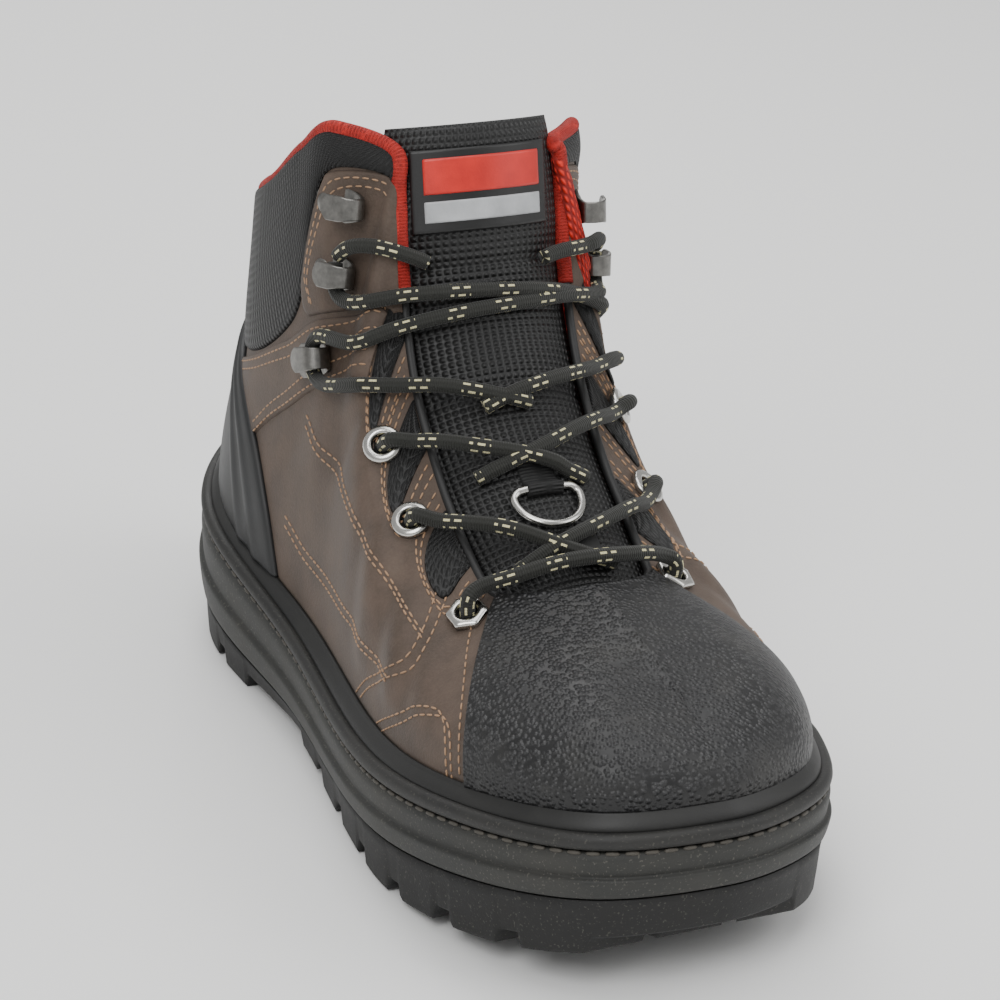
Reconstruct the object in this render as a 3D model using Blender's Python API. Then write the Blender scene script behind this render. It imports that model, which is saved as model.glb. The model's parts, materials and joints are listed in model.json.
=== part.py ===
"""Wading boot, right foot: rubber sole, brown upper with black mesh collar, toe cap,
heel counter, tongue, insole, eyelets, lace hooks and lace.

Metres, +Z up, toe toward -Y, lateral side toward -X. The boot stands on its lugs at Z 0.
"""
import bmesh
import bpy
import numpy as np
from mathutils.bvhtree import BVHTree

# Named sizes that everything follows
SOLE_LENGTH = 0.322
BALL_WIDTH = 0.129
BOOT_HEIGHT = 0.190

# Tables are drawn in millimetres for a boot of 322 x 129 x 190 and scale with the sizes above
ALONG = SOLE_LENGTH / 322.0
ACROSS = BALL_WIDTH / 129.0
UP = BOOT_HEIGHT / 190.0
MM = 0.001

GAP = 0.3 * MM
FEATHER_LOW = 9.2 * MM
FEATHER_TOP = 8.0 * MM
WALL = 2.2 * MM
COLLAR_PAD = 4.6 * MM
TONGUE_ROUND = 36.0 * MM
TONGUE_THICK = 4.2 * MM
LUG_DEPTH = 4.5 * MM
WELT_HIGH = 5.0 * MM
CAP_THICK = 1.3 * MM
COUNTER_THICK = 2.0 * MM

RIM_OUTLINE = [
    # turn, lateral, medial
    (0.00, 0.0, 0.0),
    (0.15, 29.5, 26.3),
    (0.30, 53.0, 43.0),
    (0.45, 53.5, 41.0),
    (0.55, 59.7, 52.0),
    (0.65, 64.6, 64.8),
    (0.75, 58.3, 55.6),
    (0.85, 44.5, 38.0),
    (0.93, 26.3, 17.0),
    (1.00, 0.0, 0.0),
]
SOLE_LINES = [
    # station, rand top, rim, parting line
    (0.00, 63.0, 47.2, 24.4),
    (0.25, 45.6, 38.0, 12.8),
    (0.50, 37.4, 28.1, 11.1),
    (0.75, 42.4, 33.7, 17.9),
    (1.00, 57.7, 47.0, 33.5),
]
TREAD_LINE = [
    # station, height of the lugs' faces
    (0.00, 1.5),
    (0.05, 0.0),
    (0.34, 0.0),
    (0.46, 1.2),
    (0.57, 0.0),
    (0.70, 0.0),
    (0.80, 3.2),
    (0.90, 8.6),
    (1.00, 16.6),
]
LUG_ROWS = [
    # start, end, depth share
    (3.0, 22.0, 1.0),
    (29.0, 48.0, 1.0),
    (55.0, 74.0, 1.0),
    (81.0, 100.0, 1.0),
    (147.0, 164.0, 0.8),
    (171.0, 188.0, 1.0),
    (195.0, 213.0, 1.0),
    (220.0, 238.0, 1.0),
    (245.0, 263.0, 1.0),
    (270.0, 288.0, 1.0),
    (295.0, 312.0, 1.0),
]
LUG_COLUMNS = [
    # across from the lateral edge (-1) to the medial edge (1), lug to the right of it
    (-1.00, True),
    (-0.44, False),
    (-0.32, True),
    (0.32, False),
    (0.44, True),
    (1.00, False),
]
TONGUE_LINE = [
    # share, across, along, up, half width
    (0.00, 0.0, 248.0, 73.0, 25.0),
    (0.10, 0.0, 231.0, 80.5, 31.0),
    (0.25, 0.5, 205.0, 94.5, 35.0),
    (0.40, 1.0, 182.0, 109.5, 36.0),
    (0.52, 2.0, 165.0, 125.5, 37.0),
    (0.65, 3.0, 152.5, 145.0, 37.0),
    (0.80, 4.0, 144.5, 167.0, 35.0),
    (1.00, 5.0, 137.5, 191.0, 29.0),
]
COLLAR = [
    # turn, across lateral, across medial, along, up lateral, up medial
    (0.00, 4.0, 4.0, 33.0, 146.0, 146.0),
    (0.08, -10.0, 18.0, 35.0, 146.5, 146.5),
    (0.16, -24.0, 32.0, 43.0, 147.5, 148.0),
    (0.24, -34.0, 43.0, 60.0, 151.0, 151.5),
    (0.32, -38.5, 48.0, 82.0, 161.0, 159.0),
    (0.39, -37.0, 48.5, 103.0, 177.0, 173.0),
    (0.44, -33.0, 45.0, 119.0, 187.0, 181.0),
]
THROAT = [
    # turn, tongue share, edge across from the tongue's middle: lateral, medial
    (0.480, 0.930, 24.5, 28.0),
    (0.510, 0.820, 24.5, 32.0),
    (0.550, 0.670, 25.0, 32.0),
    (0.590, 0.520, 26.0, 30.0),
    (0.635, 0.360, 26.5, 28.0),
    (0.675, 0.225, 26.5, 26.5),
    (0.705, 0.140, 24.0, 24.0),
    (0.735, 0.104, 13.5, 13.5),
    (0.765, 0.092, 0.0, 0.0),
]
RIDGE = [
    # turn, across, along, up
    (0.765, 0.0, 235.0, 83.5),
    (0.82, 0.0, 250.0, 81.0),
    (0.88, 0.0, 266.0, 77.8),
    (0.94, 0.0, 279.0, 74.8),
    (1.00, 0.0, 287.0, 72.8),
]
RIBS = [
    # turn, heading, drop, low handle, high handle, lean
    (0.00, 0.0, 100.0, 0.30, 0.40, 0.0),
    (0.08, 18.0, 100.0, 0.30, 0.40, -1.0),
    (0.16, 48.0, 98.0, 0.30, 0.40, -3.0),
    (0.24, 72.0, 95.0, 0.30, 0.40, -2.0),
    (0.32, 84.0, 93.0, 0.32, 0.36, 0.0),
    (0.39, 90.0, 90.0, 0.34, 0.34, 0.0),
    (0.44, 96.0, 86.0, 0.34, 0.32, 0.0),
    (0.51, 106.0, 68.0, 0.34, 0.32, 2.0),
    (0.59, 102.0, 57.0, 0.34, 0.30, 5.0),
    (0.65, 96.0, 48.0, 0.34, 0.30, 7.0),
    (0.70, 94.0, 34.0, 0.34, 0.30, 8.0),
    (0.765, 94.0, 12.0, 0.34, 0.30, 8.0),
    (0.82, 98.0, 12.0, 0.35, 0.31, 8.0),
    (0.88, 118.0, 15.0, 0.39, 0.34, 7.0),
    (0.95, 150.0, 20.0, 0.42, 0.40, 6.0),
    (1.00, 180.0, 24.0, 0.44, 0.42, 5.0),
]
THROAT_END = 0.765
FLAP_STAND = WALL + 4 * GAP

# Fasteners on the upper; tilt turns a hook's front end up
FASTENERS = [
    # name, kind, side, turn, rise, tilt in degrees
    ("eyelet_lateral_1", "hex", -1, 0.700, 0.815, 0.0),
    ("eyelet_lateral_2", "round", -1, 0.630, 0.785, 0.0),
    ("eyelet_lateral_3", "round", -1, 0.584, 0.750, 0.0),
    ("eyelet_medial_1", "hex", 1, 0.698, 0.845, 0.0),
    ("eyelet_medial_2", "round", 1, 0.620, 0.720, 0.0),
    ("eyelet_medial_3", "round", 1, 0.576, 0.730, 0.0),
    ("drain_medial_1", "drain", 1, 0.474, 0.110, 0.0),
    ("drain_medial_2", "drain", 1, 0.522, 0.110, 0.0),
    ("hook_lateral_1", "hook", -1, 0.440, 0.525, 22.0),
    ("hook_lateral_2", "hook", -1, 0.452, 0.715, 10.0),
    ("hook_lateral_3", "hook", -1, 0.450, 0.850, 10.0),
    ("hook_medial_1", "hook", 1, 0.446, 0.520, 22.0),
    ("hook_medial_2", "hook", 1, 0.456, 0.715, 10.0),
    ("hook_medial_3", "hook", 1, 0.454, 0.830, 10.0),
]
EYELET_BORE = 3.0 * MM
EYELET_FLANGE = 5.8 * MM
DRAIN_BORE = 2.2 * MM
DRAIN_FLANGE = 4.6 * MM
BARREL_WALL = 0.7 * MM
HOOK_LENGTH = 20.0 * MM
HOOK_WIDTH = 10.5 * MM
HOOK_METAL = 1.2 * MM
LACE_ROUND = 4.5 * MM

# Toe cap: where its rear seam stands on each rib height
CAP_SEAM = [
    # rise, turn
    (0.00, 0.735),
    (0.35, 0.732),
    (0.70, 0.722),
    (1.00, 0.706),
]
# Heel counter: its front edge at each rib height, and its bumps at the back
COUNTER_EDGE = [
    # rise, turn
    (0.00, 0.400),
    (0.15, 0.378),
    (0.30, 0.345),
    (0.42, 0.300),
    (0.52, 0.235),
    (0.58, 0.150),
]
COUNTER_BUMPS = [
    # rise, reach in rise, reach in turn, height
    (0.31, 0.075, 0.16, 4.0),
    (0.08, 0.070, 0.18, 2.5),
]


# Curves through the tables

def column_curve(rows, column, at):
    """Smooth cubic through one column of a table whose first column is the parameter."""
    table = np.array(rows, float)
    xs, ys = table[:, 0], table[:, column]
    count, step = len(xs), np.diff(xs)
    left_side, right_side = np.eye(count), np.zeros(count)
    for i in range(1, count - 1):
        left_side[i, i - 1:i + 2] = step[i - 1], 2 * (step[i - 1] + step[i]), step[i]
        right_side[i] = 6 * ((ys[i + 1] - ys[i]) / step[i] - (ys[i] - ys[i - 1]) / step[i - 1])
    bend = np.linalg.solve(left_side, right_side)
    at = np.asarray(at, float)
    k = np.clip(np.searchsorted(xs, at) - 1, 0, count - 2)
    past, left, width = at - xs[k], xs[k + 1] - at, step[k]
    return ((bend[k] * left ** 3 + bend[k + 1] * past ** 3) / (6 * width)
            + (ys[k] / width - bend[k] * width / 6) * left
            + (ys[k + 1] / width - bend[k + 1] * width / 6) * past)


def calm_curve(rows, column, at):
    """Cubic through a column that never swings past its rows."""
    table = np.array(rows, float)
    xs, ys = table[:, 0], table[:, column]
    step = np.diff(xs)
    slope = np.diff(ys) / step
    lean = np.concatenate([[slope[0]], (slope[:-1] + slope[1:]) / 2, [slope[-1]]])
    turning = np.concatenate([[False], slope[:-1] * slope[1:] <= 0, [False]])
    lean = np.where(turning, 0, lean)
    limit = 3 * np.minimum(abs(np.concatenate([[slope[0]], slope])), abs(np.concatenate([slope, [slope[-1]]])))
    lean = np.clip(lean, -limit, limit)
    at = np.asarray(at, float)
    k = np.clip(np.searchsorted(xs, at) - 1, 0, len(step) - 1)
    t = (at - xs[k]) / step[k]
    return ((1 + 2 * t) * (1 - t) ** 2 * ys[k] + t * (1 - t) ** 2 * step[k] * lean[k]
            + t * t * (3 - 2 * t) * ys[k + 1] + t * t * (t - 1) * step[k] * lean[k + 1])


def unit(vectors):
    return vectors / np.maximum(np.linalg.norm(vectors, axis=-1, keepdims=True), 1e-12)


# The sole's outline and heights; side is -1 lateral, 1 medial; turn runs 0 heel to 1 toe

def station(turn):
    return (1 - np.cos(np.pi * np.asarray(turn, float))) / 2


def turn_at(along):
    return np.arccos(1 - 2 * np.clip(np.asarray(along, float) / SOLE_LENGTH, 0, 1)) / np.pi


def rim(side, turn):
    column = 1 if side < 0 else 2
    half = column_curve(RIM_OUTLINE, column, turn) * ACROSS
    return np.stack([side * half, station(turn) * SOLE_LENGTH], -1)


def outward(side, turn):
    turn = np.asarray(turn, float)
    run = rim(side, np.clip(turn + 0.004, 0, 1)) - rim(side, np.clip(turn - 0.004, 0, 1))
    normal = np.stack([run[..., 1] * side, -run[..., 0] * side], -1)
    normal = np.where((turn < 1e-6)[..., None], np.array([0.0, -1.0]), normal)
    normal = np.where((turn > 1 - 1e-6)[..., None], np.array([0.0, 1.0]), normal)
    return unit(normal)


def edge_loop(side, turn, inset):
    return rim(side, turn) - outward(side, turn) * np.broadcast_to(inset, np.shape(turn))[..., None]


def sole_height(column, along):
    return column_curve(SOLE_LINES, column, np.asarray(along) / SOLE_LENGTH) * UP


def tread_height(along):
    return calm_curve(TREAD_LINE, 1, np.asarray(along) / SOLE_LENGTH) * UP


# The tongue's face and the upper's face

def tongue_point(share, across, lift=0.0):
    """Point on the tongue's outer face: share runs 0 toe end to 1 top, across is the arc
    length from its middle, lift is the height off the face. Gives point and normal."""
    share, across, lift = np.broadcast_arrays(np.asarray(share, float), across, lift)
    middle = np.stack([column_curve(TONGUE_LINE, 1, share) * ACROSS,
                       column_curve(TONGUE_LINE, 2, share) * ALONG,
                       column_curve(TONGUE_LINE, 3, share) * UP], -1)
    ahead, behind = share + 0.004, share - 0.004
    run = unit(np.stack([
        (column_curve(TONGUE_LINE, 2, ahead) - column_curve(TONGUE_LINE, 2, behind)) * ALONG,
        (column_curve(TONGUE_LINE, 3, ahead) - column_curve(TONGUE_LINE, 3, behind)) * UP], -1))
    face = np.stack([np.zeros_like(share), run[..., 1], -run[..., 0]], -1)
    angle = across / TONGUE_ROUND
    radius = TONGUE_ROUND + lift
    point = middle + face * (radius * np.cos(angle) - TONGUE_ROUND)[..., None]
    point[..., 0] += radius * np.sin(angle)
    normal = face * np.cos(angle)[..., None]
    normal[..., 0] += np.sin(angle)
    return point, unit(normal)


def top_edge(side, turn):
    """Upper end of each rib: the collar, the throat's edge, then the ridge of the vamp."""
    rows = []
    for at, lateral, medial, along, high_lateral, high_medial in COLLAR:
        across, high = (lateral, high_lateral) if side < 0 else (medial, high_medial)
        rows.append((at, across * ACROSS, along * ALONG, high * UP))
    for at, share, lateral, medial in THROAT:
        across = (lateral if side < 0 else medial) * ACROSS
        point, _ = tongue_point(share, side * across, FLAP_STAND)
        rows.append((at, point[0], point[1], point[2]))
    opened = np.stack([calm_curve(rows, c, turn) for c in (1, 2, 3)], -1)
    ridge = [rows[-1]]
    for at, across, along, high in RIDGE[1:]:
        ridge.append((at, across * ACROSS, along * ALONG, high * UP))
    closed = np.stack([column_curve(ridge, c, turn) for c in (1, 2, 3)], -1)
    return np.where((np.asarray(turn) >= THROAT_END)[..., None], closed, opened)


def feather(side, turn):
    """Foot of the upper on the midsole, and the line where it leaves the rand."""
    low = edge_loop(side, turn, FEATHER_LOW)
    top = edge_loop(side, turn, FEATHER_TOP)
    low_high = sole_height(2, low[..., 1]) + GAP
    top_high = sole_height(1, top[..., 1])
    return (np.concatenate([low, low_high[..., None]], -1),
            np.concatenate([top, top_high[..., None]], -1))


def upper_face(side, turn, rise):
    """Outer face of the upper. Rise runs 0 at the rand's top to 1 at the top edge, and
    down to -1 at the foot behind the rand. Each rib is a cubic from foot to edge."""
    turn, rise = np.broadcast_arrays(np.asarray(turn, float), np.asarray(rise, float))
    low, start = feather(side, turn)
    end = top_edge(side, turn)
    lean = np.radians(column_curve(RIBS, 5, turn))
    away = outward(side, turn)
    climb = np.concatenate([away * np.sin(lean)[..., None], np.cos(lean)[..., None]], -1)
    head = np.radians(calm_curve(RIBS, 1, turn))
    drop = np.radians(calm_curve(RIBS, 2, turn))
    fall = np.stack([side * np.sin(head) * np.cos(drop), -np.cos(head) * np.cos(drop), -np.sin(drop)], -1)
    reach = np.linalg.norm(end - start, axis=-1)
    first = start + climb * (calm_curve(RIBS, 3, turn) * reach)[..., None]
    second = end + fall * (calm_curve(RIBS, 4, turn) * reach)[..., None]
    v = np.clip(rise, 0, 1)[..., None]
    point = start * (1 - v) ** 3 + 3 * first * v * (1 - v) ** 2 + 3 * second * v * v * (1 - v) + end * v ** 3
    return np.where((rise < 0)[..., None], start + (low - start) * -rise[..., None], point)


def upper_normal(side, turn, rise):
    turn, rise = np.broadcast_arrays(np.asarray(turn, float), np.asarray(rise, float))
    e = 0.004

    def slant(which):
        ahead = upper_face(which, np.clip(turn + e, 0, 1), rise)
        run = ahead - upper_face(which, np.clip(turn - e, 0, 1), rise)
        climb = upper_face(which, turn, np.minimum(rise + e, 1)) - upper_face(which, turn, rise - e)
        return unit(np.cross(run, climb) * which)
    own = slant(side)
    other = slant(-side)
    shared = (turn < 1e-6) | (turn > 1 - 1e-6) | ((turn >= THROAT_END - 1e-9) & (rise > 1 - 1e-9))
    mean = unit(own + other)
    mean[..., 0] = 0
    return np.where(shared[..., None], unit(mean), own)


def wall_depth(side, turn, rise):
    """Thickness of the upper's wall: thicker in the padded collar, thin at the throat."""
    ramp = np.clip((np.asarray(rise) - 0.45) / 0.25, 0, 1)
    fade = np.clip((0.43 - np.asarray(turn)) / 0.10, 0, 1)
    pad = ramp * ramp * (3 - 2 * ramp) * fade * fade * (3 - 2 * fade)
    return WALL + (COLLAR_PAD - WALL) * pad


# Stations that every piece round the boot shares, so that their facets run side by side

TURNS = np.concatenate([np.linspace(0, 0.705, 18), np.linspace(0.705, THROAT_END, 4)[1:],
                        np.linspace(THROAT_END, 1, 9)[1:]])
MID_ACROSS = (rim(1, TURNS)[:, 0].max() + rim(-1, TURNS)[:, 0].min()) / 2


# Meshes


def world(points):
    """From across, along, up to the shared frame, centred on the sole."""
    points = np.asarray(points, float)
    return np.stack([points[..., 0] - MID_ACROSS, SOLE_LENGTH / 2 - points[..., 1], points[..., 2]], -1)


def make_object(name, points, faces, material):
    mesh = bpy.data.meshes.new(name)
    mesh.from_pydata([tuple(p) for p in world(points)], [], [tuple(int(i) for i in f) for f in faces])
    work = bmesh.new()
    work.from_mesh(mesh)
    bmesh.ops.remove_doubles(work, verts=work.verts, dist=2e-6)
    bmesh.ops.dissolve_degenerate(work, edges=work.edges, dist=1e-6)
    loose = [v for v in work.verts if not v.link_faces]
    bmesh.ops.delete(work, geom=loose, context="VERTS")
    bmesh.ops.recalc_face_normals(work, faces=work.faces)
    if work.calc_volume(signed=True) < 0:
        bmesh.ops.reverse_faces(work, faces=work.faces)
    bmesh.ops.triangulate(work, faces=[f for f in work.faces if len(f.verts) == 4])
    work.to_mesh(mesh)
    work.free()
    shape = bpy.data.objects.new(name, mesh)
    bpy.context.collection.objects.link(shape)
    mesh.materials.append(material)
    return shape


def lattice_faces(index, closed_across=False):
    """Quads over a grid of vertex numbers."""
    faces = []
    rows, columns = index.shape
    for i in range(rows - 1):
        for j in range(columns if closed_across else columns - 1):
            k = (j + 1) % columns
            quad = []
            for v in (index[i, j], index[i + 1, j], index[i + 1, k], index[i, k]):
                if v not in quad:
                    quad.append(v)
            if len(quad) > 2:
                faces.append(quad)
    return faces


def shell_object(name, outer, inner, material, edges=("start", "end", "low", "high"), high_cells=None, rim_lift=None):
    """Closed shell between two grids of points; edges names the sides to close."""
    rows, columns = outer.shape[:2]
    size = rows * columns
    out = np.arange(size).reshape(rows, columns)
    ins = out + size
    points = [outer.reshape(-1, 3), inner.reshape(-1, 3)]
    faces = lattice_faces(out) + [f[::-1] for f in lattice_faces(ins)]
    if "start" in edges:
        faces += lattice_faces(np.stack([ins[0], out[0]]))
    if "end" in edges:
        faces += lattice_faces(np.stack([out[-1], ins[-1]]))
    if "low" in edges:
        faces += lattice_faces(np.stack([out[:, 0], ins[:, 0]]))
    if "high" in edges:
        if rim_lift is None:
            strips = [out[:, -1], ins[:, -1]]
        else:
            crown = (outer[:, -1] + inner[:, -1]) / 2 + rim_lift
            points.append(crown)
            strips = [out[:, -1], np.arange(rows) + 2 * size, ins[:, -1]]
        cells = range(rows - 1) if high_cells is None else high_cells
        for a, b in zip(strips[:-1], strips[1:]):
            for i in cells:
                faces.append([a[i], b[i], b[i + 1], a[i + 1]])
    return make_object(name, np.concatenate(points), faces, material)


def round_trip(turns):
    """Stations once round the boot: lateral heel to toe, then medial toe to heel."""
    return [(-1, t) for t in turns] + [(1, t) for t in turns[::-1]]


def ring_object(name, section, turns, material):
    """Closed ring round the boot; section(side, turn) gives the loop of points at a station."""
    stops = [(-1, t) for t in turns] + [(1, t) for t in turns[-2:0:-1]]
    grid = np.array([section(side, t) for side, t in stops])
    index = np.arange(grid.shape[0] * grid.shape[1]).reshape(grid.shape[:2])
    index = np.concatenate([index, index[:1]])
    return make_object(name, grid.reshape(-1, 3), lattice_faces(index, closed_across=True), material)


def plan_level(turns, inset, height):
    """Loop round the boot at an inset; height is a function of along."""
    both = []
    for side, part in ((-1, turns), (1, turns[-2:0:-1])):
        flat = edge_loop(side, part, inset)
        both.append(np.concatenate([flat, height(flat[:, 1])[:, None]], 1))
    return np.concatenate(both)


def cross_cap(ring, count, offset):
    """Strip of faces between the lateral and medial halves of a loop."""
    total = 2 * count - 2
    faces = []
    for i in range(count - 1):
        quad = []
        for v in (i, i + 1, (total - i - 1) % total, (total - i) % total):
            if v not in quad:
                quad.append(v)
        if len(quad) > 2:
            faces.append([offset + v for v in quad])
    return faces


def stack_object(name, turns, levels, material):
    """Solid through a stack of loops, closed by strips below and above."""
    loops = [plan_level(turns, inset, height) for inset, height in levels]
    size = len(loops[0])
    index = np.arange(size * len(loops)).reshape(len(loops), size)
    faces = lattice_faces(index, closed_across=True)
    faces += cross_cap(loops[0], len(turns), 0)
    faces += [f[::-1] for f in cross_cap(loops[-1], len(turns), size * (len(loops) - 1))]
    return make_object(name, np.concatenate(loops), faces, material)


def paint(name, color, roughness, metallic=0.0):
    material = bpy.data.materials.new(name)
    material.use_nodes = True
    shader = material.node_tree.nodes["Principled BSDF"]
    shader.inputs["Base Color"].default_value = (color[0], color[1], color[2], 1.0)
    shader.inputs["Roughness"].default_value = roughness
    shader.inputs["Metallic"].default_value = metallic
    return material


# Sub-parts

def build_outsole():
    cuts = []
    for start, end, _ in LUG_ROWS:
        cuts += [start * ALONG, end * ALONG]
    rows = list(cuts)
    for along in station(np.linspace(0, 1, 25)) * SOLE_LENGTH:
        near = 0.4 * MM if min(along, SOLE_LENGTH - along) < 6 * MM else 4.0 * MM
        if min(abs(along - cut) for cut in cuts) > near:
            rows.append(along)
    rows = sorted(rows)
    lug_row = []
    for a, b in zip(rows[:-1], rows[1:]):
        share = 0.0
        for start, end, deep in LUG_ROWS:
            if start * ALONG < (a + b) / 2 < end * ALONG:
                share = deep
        lug_row.append(share)
    shares = [c for c, _ in LUG_COLUMNS]
    lug_column = [on for _, on in LUG_COLUMNS[:-1]]
    points, seen, faces = [], {}, []

    def vertex(point):
        key = tuple(np.round(point, 7))
        if key not in seen:
            seen[key] = len(points)
            points.append(np.array(point))
        return seen[key]

    def spot(i, j, level):
        """Corner of the tread grid at the top, groove or lug level."""
        along = rows[i]
        turn = turn_at(along)
        inset = {"top": 1.2, "groove": 2.0, "lug": 3.2}[level[0]] * MM
        ends = [edge_loop(side, turn, inset) for side in (-1, 1)]
        mix = (shares[j] + 1) / 2
        if i in (0, len(rows) - 1):
            flat = ends[0]
            flat = np.array([0.0, flat[1]])
        else:
            flat = ends[0] * (1 - mix) + ends[1] * mix
        if level[0] == "top":
            high = sole_height(3, flat[1]) - GAP
        elif level[0] == "groove":
            high = tread_height(along) + LUG_DEPTH
        else:
            near = tread_height(along)
            high = near + LUG_DEPTH * (1 - level[1])
        return vertex([flat[0], flat[1], high])

    def add(corners):
        face = []
        for v in corners:
            if v not in face:
                face.append(v)
        if len(face) > 2:
            faces.append(face)
    columns = len(shares)

    def is_lug(i, j):
        if i < 0 or j < 0 or i >= len(rows) - 1 or j >= columns - 1:
            return None
        return lug_row[i] > 0 and lug_column[j]
    for i in range(len(rows) - 1):
        for j in range(columns - 1):
            around = ((i, j), (i + 1, j), (i + 1, j + 1), (i, j + 1))
            add([spot(a, b, ("top",)) for a, b in around])
            low = ("lug", lug_row[i]) if is_lug(i, j) else ("groove",)
            add([spot(a, b, low) for a, b in around][::-1])
            if is_lug(i, j):
                for edge, other in ((((i, j), (i, j + 1)), (i - 1, j)), (((i + 1, j + 1), (i + 1, j)), (i + 1, j)),
                                    (((i + 1, j), (i, j)), (i, j - 1)), (((i, j + 1), (i + 1, j + 1)), (i, j + 1))):
                    if not is_lug(*other):
                        (a, b) = edge
                        add([spot(*a, low), spot(*b, low), spot(*b, ("groove",)), spot(*a, ("groove",))])
        for j in (0, columns - 1):
            add([spot(i, j, ("top",)), spot(i + 1, j, ("top",)), spot(i + 1, j, ("groove",)), spot(i, j, ("groove",))])
    return make_object("outsole", np.array(points), faces, paint("outsole rubber", (0.024, 0.024, 0.023), 0.75))


def build_midsole():
    def between(share, offset=0.0):
        return lambda along: (sole_height(3, along) + offset) * (1 - share) + sole_height(2, along) * share
    levels = [
        (2.2 * MM, lambda along: sole_height(3, along)),
        (0.4 * MM, between(0.05)),
        (-0.6 * MM, between(0.42)),
        (0.7 * MM, between(0.50)),
        (0.2 * MM, between(0.86)),
        (1.4 * MM, lambda along: sole_height(2, along)),
    ]
    return stack_object("midsole", TURNS, levels, paint("midsole rubber", (0.040, 0.041, 0.039), 0.62))


def build_welt():
    profile = [(1.6, 0.0), (-0.1, 1.8), (0.1, 3.6), (1.9, 5.0), (5.4, 5.0), (5.4, 0.0)]

    def section(side, turn):
        loop = []
        for inset, high in profile:
            flat = edge_loop(side, turn, inset * MM)
            loop.append([flat[0], flat[1], sole_height(2, flat[1]) + GAP + high * MM])
        return loop
    return ring_object("welt", section, TURNS, paint("welt rubber", (0.036, 0.037, 0.036), 0.55))


def build_rand():
    def section(side, turn):
        low, top = feather(side, turn)
        away = np.append(outward(side, turn), 0.0)
        lift = np.array([0.0, 0.0, 1.0])
        foot_flat = edge_loop(side, turn, 3.2 * MM)
        foot_high = sole_height(2, foot_flat[1]) + WELT_HIGH + 2 * GAP
        foot = np.array([foot_flat[0], foot_flat[1], foot_high])
        inner_high = sole_height(2, low[1]) + WELT_HIGH + 2 * GAP
        share = (inner_high - low[2]) / (top[2] - low[2])
        inner_foot = low + (top - low) * share + away * GAP * 1.4
        inner_top = top + away * GAP * 1.2
        crest = top + away * 1.5 * MM
        belly = foot * 0.5 + crest * 0.5 + away * 0.8 * MM
        return [inner_foot, inner_top, crest - lift * 0.1 * MM, belly, foot]
    return ring_object("rand", section, TURNS, paint("rand rubber", (0.038, 0.039, 0.037), 0.5))


UPPER_RISES = np.array([-1.0, 0.0, 0.13, 0.28, 0.43, 0.57, 0.69, 0.78, 0.87, 0.94, 1.0])


def build_upper():
    outer, inner, open_cells = [], [], []
    stops = round_trip(TURNS)
    for side, turn in stops:
        face = upper_face(side, turn, UPPER_RISES)
        normal = upper_normal(side, turn, UPPER_RISES)
        normal[0] = np.append(outward(side, turn), 0.0)
        depth = wall_depth(side, turn, UPPER_RISES)
        outer.append(face)
        inner.append(face - normal * depth[:, None])
    for i in range(len(stops) - 1):
        if stops[i][0] == stops[i + 1][0] and max(stops[i][1], stops[i + 1][1]) <= THROAT_END + 1e-9:
            open_cells.append(i)
    outer, inner = np.array(outer), np.array(inner)
    climb = unit(outer[:, -1] - outer[:, -2])
    lift = climb * np.linalg.norm(outer[:, -1] - inner[:, -1], axis=-1)[:, None] * 0.3
    middle = [i for i, (_, turn) in enumerate(stops) if abs(turn - THROAT_END) < 1e-9]
    lift[middle] = lift[middle].mean(0) * np.array([0.0, 1.0, 1.0])
    return shell_object("upper", outer, inner, paint("upper leather", (0.147, 0.117, 0.103), 0.7),
                        edges=("low", "high"), high_cells=open_cells, rim_lift=lift)


def build_tongue():
    shares = np.array([0.0, 0.06, 0.14, 0.24, 0.33, 0.42, 0.51, 0.6, 0.69, 0.78, 0.87, 0.95, 1.0])
    spread = np.array([-1.0, -0.85, -0.6, -0.3, 0.0, 0.3, 0.6, 0.85, 1.0])
    outer, inner = [], []
    for share in shares:
        half = calm_curve(TONGUE_LINE, 4, share) * ACROSS
        taper = 0.35 + 0.65 * np.sqrt(np.clip(1 - abs(spread) ** 3, 0, 1))
        depth = TONGUE_THICK * taper * (0.45 + 0.55 * min(1, (1 - share) / 0.06 + 0.1)) * (0.5 + 0.5 * min(1, share / 0.1))
        face, normal = tongue_point(share, spread * half, 0.0)
        outer.append(face)
        inner.append(face - normal * depth[:, None])
    return shell_object("tongue", np.array(outer), np.array(inner), paint("tongue mesh", (0.013, 0.013, 0.014), 0.85))


def build_insole():
    levels = [
        (12.6 * MM, lambda along: sole_height(2, along) + GAP),
        (12.2 * MM, lambda along: sole_height(2, along) + GAP + 1.5 * MM),
        (13.0 * MM, lambda along: sole_height(2, along) + GAP + 3.6 * MM),
    ]
    return stack_object("insole", TURNS, levels, paint("insole foam", (0.03, 0.03, 0.032), 0.9))


def surface_frame(side, turn, rise, tilt=0.0):
    """Place on the upper: origin, forward along the boot, up, and the outward normal."""
    origin = upper_face(side, turn, rise)
    normal = upper_normal(side, turn, rise)
    forward = np.array([0.0, 1.0, 0.0])
    forward = unit(forward - normal * forward.dot(normal))
    upward = np.cross(normal, forward)
    upward = upward * np.sign(upward[2] + 1e-9)
    angle = np.radians(tilt)
    ahead = forward * np.cos(angle) + upward * np.sin(angle)
    return origin, ahead, np.cross(ahead, normal) * np.sign(np.cross(ahead, normal)[2] + 1e-9), normal


def placed(frame, local):
    """Local points (ahead, up, out) carried onto the frame."""
    origin, ahead, upward, normal = frame
    local = np.asarray(local, float)
    return origin + local[..., :1] * ahead + local[..., 1:2] * upward + local[..., 2:] * normal


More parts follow.
